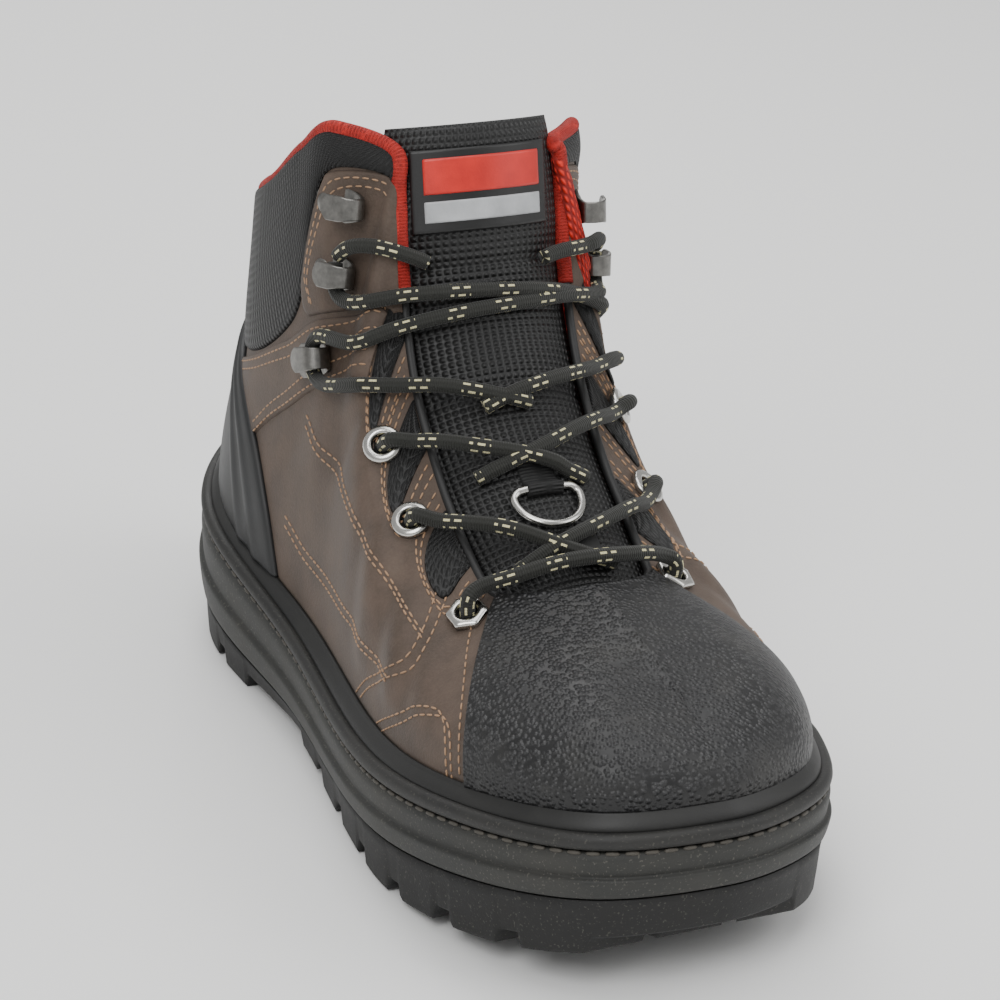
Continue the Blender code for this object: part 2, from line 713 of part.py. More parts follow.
def upper_facet(side, turn, rise):
    """Point on the flat facets between the upper's stations, not on its smooth face."""
    turn, rise = np.broadcast_arrays(np.asarray(turn, float), np.asarray(rise, float))
    i = np.clip(np.searchsorted(TURNS, turn + 1e-9) - 1, 0, len(TURNS) - 2)
    j = np.clip(np.searchsorted(UPPER_RISES, rise + 1e-9) - 1, 1, len(UPPER_RISES) - 2)
    u = ((turn - TURNS[i]) / (TURNS[i + 1] - TURNS[i]))[..., None]
    v = ((rise - UPPER_RISES[j]) / (UPPER_RISES[j + 1] - UPPER_RISES[j]))[..., None]
    near = upper_face(side, TURNS[i], UPPER_RISES[j]) * (1 - v) + upper_face(side, TURNS[i], UPPER_RISES[j + 1]) * v
    far = upper_face(side, TURNS[i + 1], UPPER_RISES[j]) * (1 - v)
    far = far + upper_face(side, TURNS[i + 1], UPPER_RISES[j + 1]) * v
    return near * (1 - u) + far * u


def build_toe_cap():
    """Cap over the toe, on the upper's own stations so that their facets run side by side."""
    rises = np.concatenate([[0.012], UPPER_RISES[2:]])
    seam = calm_curve(CAP_SEAM, 1, rises)
    first = THROAT_END - 0.02
    columns = [seam, (seam + first) / 2]
    columns += [turn + 0 * rises for turn in TURNS if turn > first - 1e-6]
    outer, inner, open_cells = [], [], []
    stops = [(-1, c) for c in columns] + [(1, c) for c in columns[-2::-1]]
    for side, turns in stops:
        face = upper_facet(side, turns, rises)
        normal = upper_normal(side, turns, rises)
        outer.append(face + normal * (1.5 * GAP + CAP_THICK))
        inner.append(face + normal * 1.5 * GAP)
    for i in range(len(stops) - 1):
        if max(stops[i][1][-1], stops[i + 1][1][-1]) <= THROAT_END + 1e-9:
            open_cells.append(i)
    return shell_object("toe_cap", np.array(outer), np.array(inner), paint("toe cap rubber", (0.036, 0.037, 0.038), 0.8),
                        edges=("start", "end", "low", "high"), high_cells=open_cells)


def build_heel_counter():
    """Cup round the heel, on the upper's own stations up to its front edge."""
    rises = np.array([0.012, 0.07, 0.13, 0.21, 0.28, 0.35, 0.43, 0.475, 0.52, 0.57])
    edge = calm_curve(COUNTER_EDGE, 1, rises)
    columns = [np.minimum(turn, edge) for turn in TURNS[TURNS < edge.max()]] + [edge]
    outer, inner = [], []
    stops = [(-1, c) for c in columns[::-1]] + [(1, c) for c in columns[1:]]
    for side, turns in stops:
        face = upper_facet(side, turns, rises)
        normal = upper_normal(side, turns, rises)
        share = turns / edge
        thick = COUNTER_THICK * (0.55 + 0.45 * np.sqrt(np.clip(1 - share ** 6, 0, 1)))
        for rise, tall, wide, high in COUNTER_BUMPS:
            far = ((rises - rise) / tall) ** 2 + (turns / wide) ** 2
            thick = thick + high * MM * np.clip(1 - far, 0, 1) ** 2
        stand = GAP * (1.5 + 2.5 * np.clip((rises - 0.43) / 0.09, 0, 1))
        outer.append(face + normal * (stand + thick)[:, None])
        inner.append(face + normal * stand[:, None])
    return shell_object("heel_counter", np.array(outer), np.array(inner),
                        paint("counter rubber", (0.040, 0.041, 0.041), 0.5))


def ground(*shapes):
    """Search tree over the faces of built objects."""
    points, faces = [], []
    for shape in shapes:
        start = len(points)
        points += [tuple(v.co) for v in shape.data.vertices]
        faces += [[start + i for i in p.vertices] for p in shape.data.polygons]
    return BVHTree.FromPolygons(points, faces)


def seated(tree, frame, spots):
    """Frame turned to lie along the ground under local spots (ahead, up), and the ground's
    highest place there, measured along its normal."""
    for turn in range(3):
        down = world(frame[0] - frame[3]) - world(frame[0])
        rows = []
        for ahead, up in spots:
            start = world(placed(frame, [ahead, up, 9 * MM]))
            hit = tree.ray_cast(tuple(start), tuple(down), 18 * MM)
            if hit[0] is not None:
                rows.append((ahead, up, 9 * MM - hit[3]))
        rows = np.array(rows)
        if turn < 2:
            flat = np.stack([rows[:, 0], rows[:, 1], np.ones(len(rows))], -1)
            slope = np.linalg.lstsq(flat, rows[:, 2], rcond=None)[0]
            origin, ahead, upward, normal = frame
            lean = unit(normal - ahead * slope[0] - upward * slope[1])
            ahead = unit(ahead - lean * ahead.dot(lean))
            frame = (origin, ahead, unit(upward - lean * upward.dot(lean) - ahead * upward.dot(ahead)), lean)
    return frame, rows[:, 2].max()


def laid_over(route, tree, clear, spacing):
    """Route moved off the ground wherever it is nearer than clear, smoothed between, and
    sampled about every spacing."""
    route = np.array(route, float)
    for turn in range(10):
        for i, point in enumerate(route):
            here = world(point)
            near, _, _, far = tree.find_nearest(tuple(here))
            if far < clear:
                here = np.array(near) + (here - np.array(near)) / max(far, 1e-6) * clear
                route[i] = [here[0] + MID_ACROSS, SOLE_LENGTH / 2 - here[1], here[2]]
        if turn < 8:
            route[1:-1] = (route[:-2] + 2 * route[1:-1] + route[2:]) / 4
    run = np.concatenate([[0], np.cumsum(np.linalg.norm(np.diff(route, axis=0), axis=1))])
    at = np.linspace(0, run[-1], max(4, int(round(run[-1] / spacing)) + 1))
    return np.stack([np.interp(at, run, route[:, c]) for c in range(3)], -1)


def lathe_object(name, frame, profile, material, corners=12, hexagon=False):
    """Ring turned about the frame's normal through a closed profile of radius and height."""
    angles = np.arange(corners) * 2 * np.pi / corners
    grid = []
    for k, angle in enumerate(angles):
        loop = []
        for radius, out in profile:
            if hexagon and radius > 4.5 * MM:
                radius = radius * (1.08 if k % 2 == 0 else 1.08 * np.cos(np.pi / 6))
            loop.append([radius * np.cos(angle), radius * np.sin(angle), out])
        grid.append(placed(frame, loop))
    grid = np.array(grid)
    index = np.arange(grid.shape[0] * grid.shape[1]).reshape(grid.shape[:2])
    index = np.concatenate([index, index[:1]])
    return make_object(name, grid.reshape(-1, 3), lattice_faces(index, closed_across=True), material)


def build_eyelet(name, kind, frame, metal, tree):
    bore, flange = (DRAIN_BORE, DRAIN_FLANGE) if kind == "drain" else (EYELET_BORE, EYELET_FLANGE)
    barrel = bore + BARREL_WALL
    turned = np.arange(16) * 2 * np.pi / 16
    spots = [(r * np.cos(a), r * np.sin(a)) for a in turned for r in np.linspace(barrel, flange * 1.08, 4)]
    frame, high = seated(tree, frame, spots)
    seat = high + 2.4 * GAP
    profile = [(bore, -WALL), (barrel, -WALL), (barrel, seat), (flange, seat),
               (flange - 0.5 * MM, seat + 0.9 * MM), (bore, seat + 0.8 * MM)]
    ring = lathe_object(name, frame, profile, metal,
                        corners=12 if kind == "hex" else 9, hexagon=(kind == "hex"))
    return ring, frame


def wall_cutter(upper, frames):
    """Cuts a round hole through the upper's wall at each frame, a gap wider than its barrel."""
    points, faces = [], []
    for frame, bore in frames:
        radius = bore + BARREL_WALL + GAP
        start = sum(len(p) for p in points)
        angles = np.arange(12) * 2 * np.pi / 12
        for out in (-WALL - 2.5 * MM, 2.5 * MM):
            ring = np.stack([radius * np.cos(angles), radius * np.sin(angles), np.full(12, out)], -1)
            points.append(placed(frame, ring))
        for k in range(12):
            n = (k + 1) % 12
            faces.append([start + k, start + n, start + 12 + n, start + 12 + k])
        faces.append([start + k for k in range(11, -1, -1)])
        faces.append([start + 12 + k for k in range(12)])
    cutter = make_object("wall_cutter", np.concatenate(points), faces, paint("cutter", (1.0, 0.0, 1.0), 0.5))
    cutter.hide_render = True
    cutter.display_type = "WIRE"
    cut = upper.modifiers.new("lace and drain holes", "BOOLEAN")
    cut.operation = "DIFFERENCE"
    cut.solver = "EXACT"
    cut.object = cutter
    return cutter


HOOK_STRIP = [
    # ahead as a share of the length, out in clear laces' rounds above the plate, width share
    (-0.500, 0.00, 0.45),
    (-0.440, 0.00, 0.80),
    (-0.340, 0.00, 1.00),
    (0.050, 0.00, 1.00),
    (0.240, 0.00, 0.88),
    (0.400, 0.14, 0.72),
    (0.500, 0.45, 0.60),
    (0.515, 1.02, 0.60),
    (0.450, 1.56, 0.62),
    (0.310, 1.74, 0.72),
    (0.100, 1.72, 0.72),
    (-0.050, 1.66, 0.50),
]


def join_to(whole, other, note):
    """Joins a hidden object into another as one solid."""
    other.hide_render = True
    other.display_type = "WIRE"
    join = whole.modifiers.new(note, "BOOLEAN")
    join.operation = "UNION"
    join.solver = "EXACT"
    join.object = other
    return whole


def build_hook(name, frame, metal, seat):
    """Plate folded over to the rear, from a strip of stations each with its width."""
    strip = np.array(HOOK_STRIP)
    line = np.stack([strip[:, 0] * HOOK_LENGTH, strip[:, 1] * LACE_ROUND + seat], -1)
    run = np.gradient(line, axis=0)
    across = unit(np.stack([-run[:, 1], run[:, 0]], -1)) * HOOK_METAL / 2
    half = strip[:, 2] * HOOK_WIDTH / 2
    loops = []
    for (ahead, out), (da, do), w in zip(line, across, half):
        loops.append([[ahead + da, -w, out + do], [ahead + da, w, out + do],
                      [ahead - da, w, out - do], [ahead - da, -w, out - do]])
    grid = placed(frame, np.array(loops))
    index = np.arange(grid.shape[0] * 4).reshape(-1, 4)
    faces = lattice_faces(index, closed_across=True)
    faces += [list(index[0]), list(index[-1][::-1])]
    return make_object(name, grid.reshape(-1, 3), faces, metal)


def build_rivet(name, frame, metal, base):
    """Low dome on the rear of a hook's plate."""
    loops = []
    for radius, out in ((3.5, 0.0), (3.2, 0.9), (2.0, 1.5)):
        angles = np.arange(8) * 2 * np.pi / 8
        ring = np.stack([radius * MM * np.cos(angles) - 0.28 * HOOK_LENGTH, radius * MM * np.sin(angles),
                         np.full(8, base + out * MM)], -1)
        loops.append(placed(frame, ring))
    grid = np.array(loops)
    index = np.arange(grid.shape[0] * 8).reshape(-1, 8)
    faces = lattice_faces(index, closed_across=True)
    faces += [list(index[0][::-1]), list(index[-1])]
    return make_object(name, grid.reshape(-1, 3), faces, metal)


# Lace: each row is a point the lace passes. T is a place on the tongue (share, across, lift),
# L and M are places on the lateral and medial upper (turn, rise, lift), and a hook's name
# gives a place on its plate (ahead, up, lift). Across, ahead, up and lift are in millimetres.
LACE_BAR = [
    ("L", 0.700, 0.815, 4.4),
    ("L", 0.700, 0.930, 5.2),
    ("T", 0.139, -20.0, 8.4),
    ("T", 0.138, -9.0, 7.0),
    ("T", 0.138, 4.0, 6.6),
    ("T", 0.145, 18.0, 8.0),
    ("M", 0.698, 0.940, 5.2),
    ("M", 0.698, 0.845, 4.4),
]
LACE_FIRST_OVER = [
    ("L", 0.630, 0.785, 4.4),
    ("T", 0.297, -31.5, 8.2),
    ("T", 0.262, -24.0, 7.8),
    ("T", 0.219, -13.0, 5.8),
    ("T", 0.178, -4.0, 4.2),
    ("T", 0.150, 6.0, 3.0),
    ("T", 0.140, 11.0, 2.75),
]
LACE_FIRST_UNDER = [
    ("M", 0.620, 0.720, 4.4),
    ("T", 0.266, 30.5, 8.4),
    ("T", 0.247, 24.0, 8.0),
    ("T", 0.219, 14.5, 5.8),
    ("T", 0.178, -4.0, 4.2),
    ("T", 0.165, -12.0, 3.0),
    ("T", 0.158, -16.5, 2.75),
]
LACE_SECOND_OVER = [
    ("L", 0.584, 0.750, 4.4),
    ("T", 0.436, -32.0, 8.4),
    ("T", 0.413, -23.0, 8.0),
    ("T", 0.378, -12.5, 6.2),
    ("T", 0.352, -2.0, 4.4),
    ("T", 0.318, 8.0, 3.0),
    ("T", 0.305, 14.0, 2.75),
]
LACE_SECOND_UNDER = [
    ("M", 0.576, 0.730, 4.4),
    ("T", 0.436, 32.0, 8.8),
    ("T", 0.418, 24.5, 8.4),
    ("T", 0.390, 13.5, 6.8),
    ("T", 0.352, -2.0, 4.4),
    ("T", 0.342, -11.0, 3.0),
    ("T", 0.337, -17.0, 2.75),
]
HOOK_TURN = [
    # ahead, up, lift off the plate round a hook's neck, from its lower side to its upper side
    (6.9, -6.9, 3.9),
    (4.3, -3.5, 3.9),
    (4.3, 3.5, 3.9),
    (6.9, 6.9, 3.9),
]
LACE_THIRD_MEDIAL = [
    ("T", 0.450, -9.0, 2.9),
    ("T", 0.460, -3.0, 4.2),
    ("T", 0.480, 11.0, 5.4),
    ("T", 0.500, 25.0, 7.6),
    ("T", 0.513, 32.0, 8.4),
    ("T", 0.527, 38.0, 11.6),
    ("hook_medial_1",),
    ("T", 0.607, 39.0, 10.6),
    ("T", 0.620, 33.0, 8.6),
    ("T", 0.636, 15.0, 4.8),
    ("T", 0.645, -3.0, 3.6),
    ("T", 0.652, -19.0, 6.6),
    ("T", 0.654, -26.5, 7.8),
    ("T", 0.652, -32.5, 9.8),
    ("hook_lateral_2",),
]
LACE_THIRD_LATERAL = [
    ("T", 0.448, 4.0, 2.9),
    ("T", 0.460, -3.0, 4.2),
    ("T", 0.498, -19.0, 6.8),
    ("T", 0.513, -27.0, 7.8),
    ("T", 0.524, -33.0, 9.6),
    ("T", 0.534, -37.5, 12.0),
    ("hook_lateral_1",),
    ("T", 0.592, -36.5, 11.0),
    ("T", 0.598, -31.0, 9.0),
    ("T", 0.606, -20.0, 6.4),
    ("T", 0.612, -8.0, 4.2),
    ("T", 0.617, 8.0, 4.0),
    ("T", 0.624, 27.0, 7.4),
    ("T", 0.624, 34.0, 9.6),
    ("hook_medial_2",),
]
LACE_END_LATERAL = [
    ("hook_lateral_2", 5.2, 5.7, 3.9),
    ("hook_lateral_2", 6.8, 7.7, 3.95),
    ("hook_lateral_2", 10.4, 9.5, 4.4),
    ("T", 0.744, -28.5, 9.0),
    ("T", 0.731, -24.5, 8.4),
    ("T", 0.721, -21.5, 5.6),
    ("T", 0.713, -19.5, 3.6),
    ("T", 0.706, -18.0, 2.9),
]
LACE_END_MEDIAL = [
    ("hook_medial_2", 5.2, 5.7, 3.9),
    ("hook_medial_2", 6.8, 7.7, 3.95),
    ("hook_medial_2", 10.8, 9.0, 4.4),
    ("T", 0.706, 33.5, 9.0),
    ("T", 0.704, 29.0, 8.2),
    ("T", 0.702, 24.5, 5.6),
    ("T", 0.698, 21.0, 3.6),
    ("T", 0.692, 18.5, 2.9),
]


def lace_route(rows, spacing, plates):
    """Smooth curve through a lace's rows, sampled about every spacing; plates gives each
    hook's frame and the height of its plate."""
    stops = []
    for row in rows:
        if row[0] == "T":
            point, normal = tongue_point(row[1], row[2] * MM, row[3] * MM)
            stops.append(point)
        elif row[0] in "LM":
            side = -1 if row[0] == "L" else 1
            stops.append(upper_face(side, row[1], row[2]) + upper_normal(side, row[1], row[2]) * row[3] * MM)
        elif len(row) == 1:
            frame, seat = plates[row[0]]
            turns = HOOK_TURN[:-1] if row is rows[-1] else HOOK_TURN
            stops += [placed(frame, np.array(turn) * MM + [0.0, 0.0, seat]) for turn in turns]
        else:
            frame, seat = plates[row[0]]
            stops.append(placed(frame, np.array(row[1:]) * MM + [0.0, 0.0, seat]))
    stops = np.array(stops)
    pace = np.concatenate([[0], np.cumsum(np.linalg.norm(np.diff(stops, axis=0), axis=1) ** 0.6)])
    table = np.concatenate([pace[:, None], stops], 1)
    fine = np.stack([column_curve(table, c, np.linspace(0, pace[-1], 400)) for c in (1, 2, 3)], -1)
    run = np.concatenate([[0], np.cumsum(np.linalg.norm(np.diff(fine, axis=0), axis=1))])
    count = max(4, int(round(run[-1] / spacing)) + 1)
    at = np.linspace(0, run[-1], count)
    return np.stack([np.interp(at, run, fine[:, c]) for c in range(3)], -1)


def tube_object(name, route, radius, material, sides=6, loop=False):
    """Round tube along a route, its ring of sides carried without twisting."""
    if loop:
        run = unit(np.roll(route, -1, 0) - np.roll(route, 1, 0))
    else:
        run = unit(np.gradient(route, axis=0))
    first = np.cross(run[0], [0.0, 0.0, 1.0])
    aside = unit(first if np.linalg.norm(first) > 0.1 else np.cross(run[0], [1.0, 0.0, 0.0]))
    rings = []
    for point, way in zip(route, run):
        aside = unit(aside - way * aside.dot(way))
        above = np.cross(way, aside)
        angles = np.arange(sides) * 2 * np.pi / sides
        rings.append(point + radius * (np.cos(angles)[:, None] * aside + np.sin(angles)[:, None] * above))
    grid = np.array(rings)
    index = np.arange(grid.shape[0] * sides).reshape(-1, sides)
    if loop:
        index = np.concatenate([index, index[:1]])
        return make_object(name, grid.reshape(-1, 3), lattice_faces(index, closed_across=True), material)
    faces = lattice_faces(index, closed_across=True)
    faces += [list(index[0][::-1]), list(index[-1])]
    return make_object(name, grid.reshape(-1, 3), faces, material)


def joined_tubes(name, first, second, material, tree, plates):
    """Two lace tubes joined where they cross."""
    clear = LACE_ROUND / 2 + 3 * GAP
    whole = tube_object(name, laid_over(lace_route(first, 1.6 * MM, plates), tree, clear, 5.5 * MM), LACE_ROUND / 2, material)
    other = laid_over(lace_route(second, 1.6 * MM, plates), tree, clear, 5.5 * MM)
    other = tube_object(name + "_other", other, LACE_ROUND / 2, material)
    return join_to(whole, other, "joined at the crossing")


def build_lace(plates, *under):
    tree = ground(*under)
    clear = LACE_ROUND / 2 + 3 * GAP
    cord = paint("lace cord", (0.019, 0.020, 0.017), 0.85)
    bar = laid_over(lace_route(LACE_BAR, 1.6 * MM, plates), tree, clear, 5.5 * MM)
    bar = tube_object("lace_bar", bar, LACE_ROUND / 2, cord)
    first = joined_tubes("lace_cross_1", LACE_FIRST_OVER, LACE_FIRST_UNDER, cord, tree, plates)
    join_to(first, bar, "the bar lies on the first crossing")
    joined_tubes("lace_cross_2", LACE_SECOND_OVER, LACE_SECOND_UNDER, cord, tree, plates)
    joined_tubes("lace_cross_3", LACE_THIRD_MEDIAL, LACE_THIRD_LATERAL, cord, tree, plates)
    for name, rows in (("lace_end_lateral", LACE_END_LATERAL), ("lace_end_medial", LACE_END_MEDIAL)):
        route = world(laid_over(lace_route(rows, 1.6 * MM, plates), tree, clear, 4.0 * MM))
        line = bpy.data.curves.new(name, "CURVE")
        line.dimensions = "3D"
        line.bevel_depth = LACE_ROUND / 2
        line.bevel_resolution = 2
        line.use_fill_caps = True
        path = line.splines.new("POLY")
        path.points.add(len(route) - 1)
        for spot, place in zip(path.points, route):
            spot.co = (place[0], place[1], place[2], 1.0)
        line.materials.append(cord)
        bpy.context.collection.objects.link(bpy.data.objects.new(name, line))


BADGE_WIDE = 44.0 * MM
BADGE_SHARES = (0.755, 0.945)
RING_WIDE = 22.0 * MM
RING_DEEP = 16.0 * MM
RING_WIRE = 2.4 * MM
RING_SHARE = 0.292


def build_badge():
    """Soft rubber frame that follows the tongue's face."""
    shares = np.linspace(BADGE_SHARES[0], BADGE_SHARES[1], 5)
    spread = np.linspace(-0.5, 0.5, 7) * BADGE_WIDE
    outer, inner = [], []
    for k, share in enumerate(shares):
        trim = 0.93 if k in (0, len(shares) - 1) else 1.0
        face, normal = tongue_point(share, spread * trim, 0.0)
        inner.append(face + normal * 1.5 * GAP)
        outer.append(face + normal * (1.5 * GAP + 1.9 * MM))
    return shell_object("tongue_badge", np.array(outer), np.array(inner), paint("badge rubber", (0.012, 0.012, 0.013), 0.5))


def build_ring():
    """D-shaped wire ring on the tongue, its straight side held by a webbing tab."""
    radius = RING_WIRE / 2
    corner = 3.0 * MM
    half = RING_WIDE / 2 - radius
    deep = RING_DEEP - RING_WIRE
    path = [(-half + corner, 0.0), (half - corner, 0.0)]
    path += [(half - corner + corner * np.sin(a), corner - corner * np.cos(a)) for a in np.radians([45, 90])]
    bow = deep - corner
    path += [(half * np.cos(a), corner + bow * np.sin(a)) for a in np.radians(np.arange(20, 180, 20))]
    path += [(-half + corner - corner * np.sin(a), corner - corner * np.cos(a)) for a in np.radians([90, 45])]
    points = []
    slope = 19.0 * MM
    for across, toward in path:
        share = RING_SHARE - toward / slope * 0.1
        point, normal = tongue_point(share, across, radius + 2 * GAP + 0.4 * MM)
        points.append(point)
    steel = paint("ring steel", (0.50, 0.50, 0.50), 0.25, 1.0)
    ring = tube_object("d_ring", np.array(points), radius, steel, sides=6, loop=True)
    wide = np.linspace(-0.5, 0.5, 5) * (RING_WIDE - 4.4 * corner)
    outer, inner = [], []
    for share, lift in ((0.345, 0.0), (0.318, 0.2), (0.294, 2.9), (0.284, 2.2)):
        face, normal = tongue_point(share, wide, 0.0)
        inner.append(face + normal * GAP * 1.3)
        outer.append(face + normal * (GAP * 1.3 + (1.0 + lift) * MM))
    tab = shell_object("ring_tab", np.array(outer), np.array(inner), paint("webbing", (0.012, 0.012, 0.012), 0.8))
    return join_to(ring, tab, "webbing round the ring's straight side"), tab


def build_fasteners(upper):
    tree = ground(upper)
    plate = [(a * MM, u * MM) for a in np.linspace(-10, 7, 9) for u in (-5.25, -2.6, 0, 2.6, 5.25)]
    steel = paint("hook steel", (0.36, 0.36, 0.37), 0.32, 1.0)
    bright = paint("eyelet steel", (0.62, 0.62, 0.62), 0.22, 1.0)
    holes = []
    made = []
    plates = {}
    for name, kind, side, turn, rise, tilt in FASTENERS:
        frame = surface_frame(side, turn, rise, tilt)
        if kind == "hook":
            frame, high = seated(tree, frame, plate)
            seat = high + 1.8 * GAP + HOOK_METAL / 2
            hook = build_hook(name, frame, steel, seat)
            plates[name] = (frame, seat)
            rivet = build_rivet(name + "_rivet", frame, steel, seat + HOOK_METAL / 2 - 0.4 * MM)
            join_to(hook, rivet, "rivet in the plate")
        else:
            ring, frame = build_eyelet(name, kind, frame, bright, tree)
            made.append(ring)
            holes.append((frame, DRAIN_BORE if kind == "drain" else EYELET_BORE))
    wall_cutter(upper, holes)
    return made, plates


def clear_file():
    for thing in list(bpy.data.objects):
        bpy.data.objects.remove(thing, do_unlink=True)


def main():
    clear_file()
    build_outsole()
    build_midsole()
    build_welt()
    build_rand()
    upper = build_upper()
    tongue = build_tongue()
    build_insole()
    toe_cap = build_toe_cap()
    build_heel_counter()
    eyelets, plates = build_fasteners(upper)
    build_badge()
    ring, tab = build_ring()
    build_lace(plates, upper, tongue, toe_cap, ring, tab, *eyelets)


main()
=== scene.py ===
"""Wading boot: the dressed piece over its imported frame. Every surface is worked out with
numpy from the same named values as the part's source."""

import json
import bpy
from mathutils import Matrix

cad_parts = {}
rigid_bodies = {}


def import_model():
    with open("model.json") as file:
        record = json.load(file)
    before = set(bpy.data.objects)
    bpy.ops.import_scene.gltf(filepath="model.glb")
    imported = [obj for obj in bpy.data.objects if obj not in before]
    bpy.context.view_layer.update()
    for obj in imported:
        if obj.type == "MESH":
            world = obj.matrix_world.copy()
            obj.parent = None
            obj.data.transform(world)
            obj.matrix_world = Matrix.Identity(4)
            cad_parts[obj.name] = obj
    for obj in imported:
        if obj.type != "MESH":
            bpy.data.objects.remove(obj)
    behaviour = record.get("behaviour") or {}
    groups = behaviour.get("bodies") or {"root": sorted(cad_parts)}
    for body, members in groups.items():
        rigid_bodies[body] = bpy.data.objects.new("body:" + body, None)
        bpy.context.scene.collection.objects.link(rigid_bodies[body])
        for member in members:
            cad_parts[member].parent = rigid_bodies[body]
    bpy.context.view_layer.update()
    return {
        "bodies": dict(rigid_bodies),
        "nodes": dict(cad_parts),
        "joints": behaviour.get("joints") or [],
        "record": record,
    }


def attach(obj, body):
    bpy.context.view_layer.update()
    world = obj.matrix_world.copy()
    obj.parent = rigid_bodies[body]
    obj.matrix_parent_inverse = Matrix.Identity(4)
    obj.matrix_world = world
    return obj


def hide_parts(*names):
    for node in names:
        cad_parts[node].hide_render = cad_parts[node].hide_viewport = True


bl_info = {
    "name": "Wading boot",
    "version": (1, 0, 0),
    "blender": (4, 5, 0),
    "location": "3D View > Sidebar > Boot",
    "description": "Builds a laced wading boot over its packed frame",
    "category": "Object",
}

import bmesh
import bpy
import numpy as np
from mathutils import Matrix, Vector
from mathutils.bvhtree import BVHTree

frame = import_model()

# Named sizes that everything follows
SOLE_LENGTH = 0.322
BALL_WIDTH = 0.129
BOOT_HEIGHT = 0.190

# Tables are drawn in millimetres for a boot of 322 x 129 x 190 and scale with the sizes above
ALONG = SOLE_LENGTH / 322.0
ACROSS = BALL_WIDTH / 129.0
UP = BOOT_HEIGHT / 190.0
MM = 0.001

GAP = 0.3 * MM
FEATHER_LOW = 9.2 * MM
FEATHER_TOP = 8.0 * MM
WALL = 2.2 * MM
COLLAR_PAD = 4.6 * MM
TONGUE_ROUND = 36.0 * MM
TONGUE_THICK = 4.2 * MM
LUG_DEPTH = 4.5 * MM
CAP_THICK = 1.3 * MM
COUNTER_THICK = 2.0 * MM

RIM_OUTLINE = [
    # turn, lateral, medial
    (0.00, 0.0, 0.0),
    (0.15, 29.5, 26.3),
    (0.30, 53.0, 43.0),
    (0.45, 53.5, 41.0),
    (0.55, 59.7, 52.0),
    (0.65, 64.6, 64.8),
    (0.75, 58.3, 55.6),
    (0.85, 44.5, 38.0),
    (0.93, 26.3, 17.0),
    (1.00, 0.0, 0.0),
]
SOLE_LINES = [
    # station, rand top, rim, parting line
    (0.00, 63.0, 47.2, 24.4),
    (0.25, 45.6, 38.0, 12.8),
    (0.50, 37.4, 28.1, 11.1),
    (0.75, 42.4, 33.7, 17.9),
    (1.00, 57.7, 47.0, 33.5),
]
TREAD_LINE = [
    # station, height of the lugs' faces
    (0.00, 1.5),
    (0.05, 0.0),
    (0.34, 0.0),
    (0.46, 1.2),
    (0.57, 0.0),
    (0.70, 0.0),
    (0.80, 3.2),
    (0.90, 8.6),
    (1.00, 16.6),
]
LUG_ROWS = [
    # start, end, depth share
    (3.0, 22.0, 1.0),
    (29.0, 48.0, 1.0),
    (55.0, 74.0, 1.0),
    (81.0, 100.0, 1.0),
    (147.0, 164.0, 0.8),
    (171.0, 188.0, 1.0),
    (195.0, 213.0, 1.0),
    (220.0, 238.0, 1.0),
    (245.0, 263.0, 1.0),
    (270.0, 288.0, 1.0),
    (295.0, 312.0, 1.0),
]
LUG_COLUMNS = [
    # across from the lateral edge (-1) to the medial edge (1), lug to the right of it
    (-1.00, True),
    (-0.44, False),
    (-0.32, True),
    (0.32, False),
    (0.44, True),
    (1.00, False),
]
TONGUE_LINE = [
    # share, across, along, up, half width
    (0.00, 0.0, 248.0, 73.0, 25.0),
    (0.10, 0.0, 231.0, 80.5, 31.0),
    (0.25, 0.5, 205.0, 94.5, 35.0),
    (0.40, 1.0, 182.0, 109.5, 36.0),
    (0.52, 2.0, 165.0, 125.5, 37.0),
    (0.65, 3.0, 152.5, 145.0, 37.0),
    (0.80, 4.0, 144.5, 167.0, 35.0),
    (1.00, 5.0, 137.5, 191.0, 29.0),
]
COLLAR = [
    # turn, across lateral, across medial, along, up lateral, up medial
    (0.00, 4.0, 4.0, 33.0, 146.0, 146.0),
    (0.08, -10.0, 18.0, 35.0, 146.5, 146.5),
    (0.16, -24.0, 32.0, 43.0, 147.5, 148.0),
    (0.24, -34.0, 43.0, 60.0, 151.0, 151.5),
    (0.32, -38.5, 48.0, 82.0, 161.0, 159.0),
    (0.39, -37.0, 48.5, 103.0, 177.0, 173.0),
    (0.44, -33.0, 45.0, 119.0, 187.0, 181.0),
]
THROAT = [
    # turn, tongue share, edge across from the tongue's middle: lateral, medial
    (0.480, 0.930, 24.5, 28.0),
    (0.510, 0.820, 24.5, 32.0),
    (0.550, 0.670, 25.0, 32.0),
    (0.590, 0.520, 26.0, 30.0),
    (0.635, 0.360, 26.5, 28.0),
    (0.675, 0.225, 26.5, 26.5),
    (0.705, 0.140, 24.0, 24.0),
    (0.735, 0.104, 13.5, 13.5),
    (0.765, 0.092, 0.0, 0.0),
]
RIDGE = [
    # turn, across, along, up
    (0.765, 0.0, 235.0, 83.5),
    (0.82, 0.0, 250.0, 81.0),
    (0.88, 0.0, 266.0, 77.8),
    (0.94, 0.0, 279.0, 74.8),
    (1.00, 0.0, 287.0, 72.8),
]
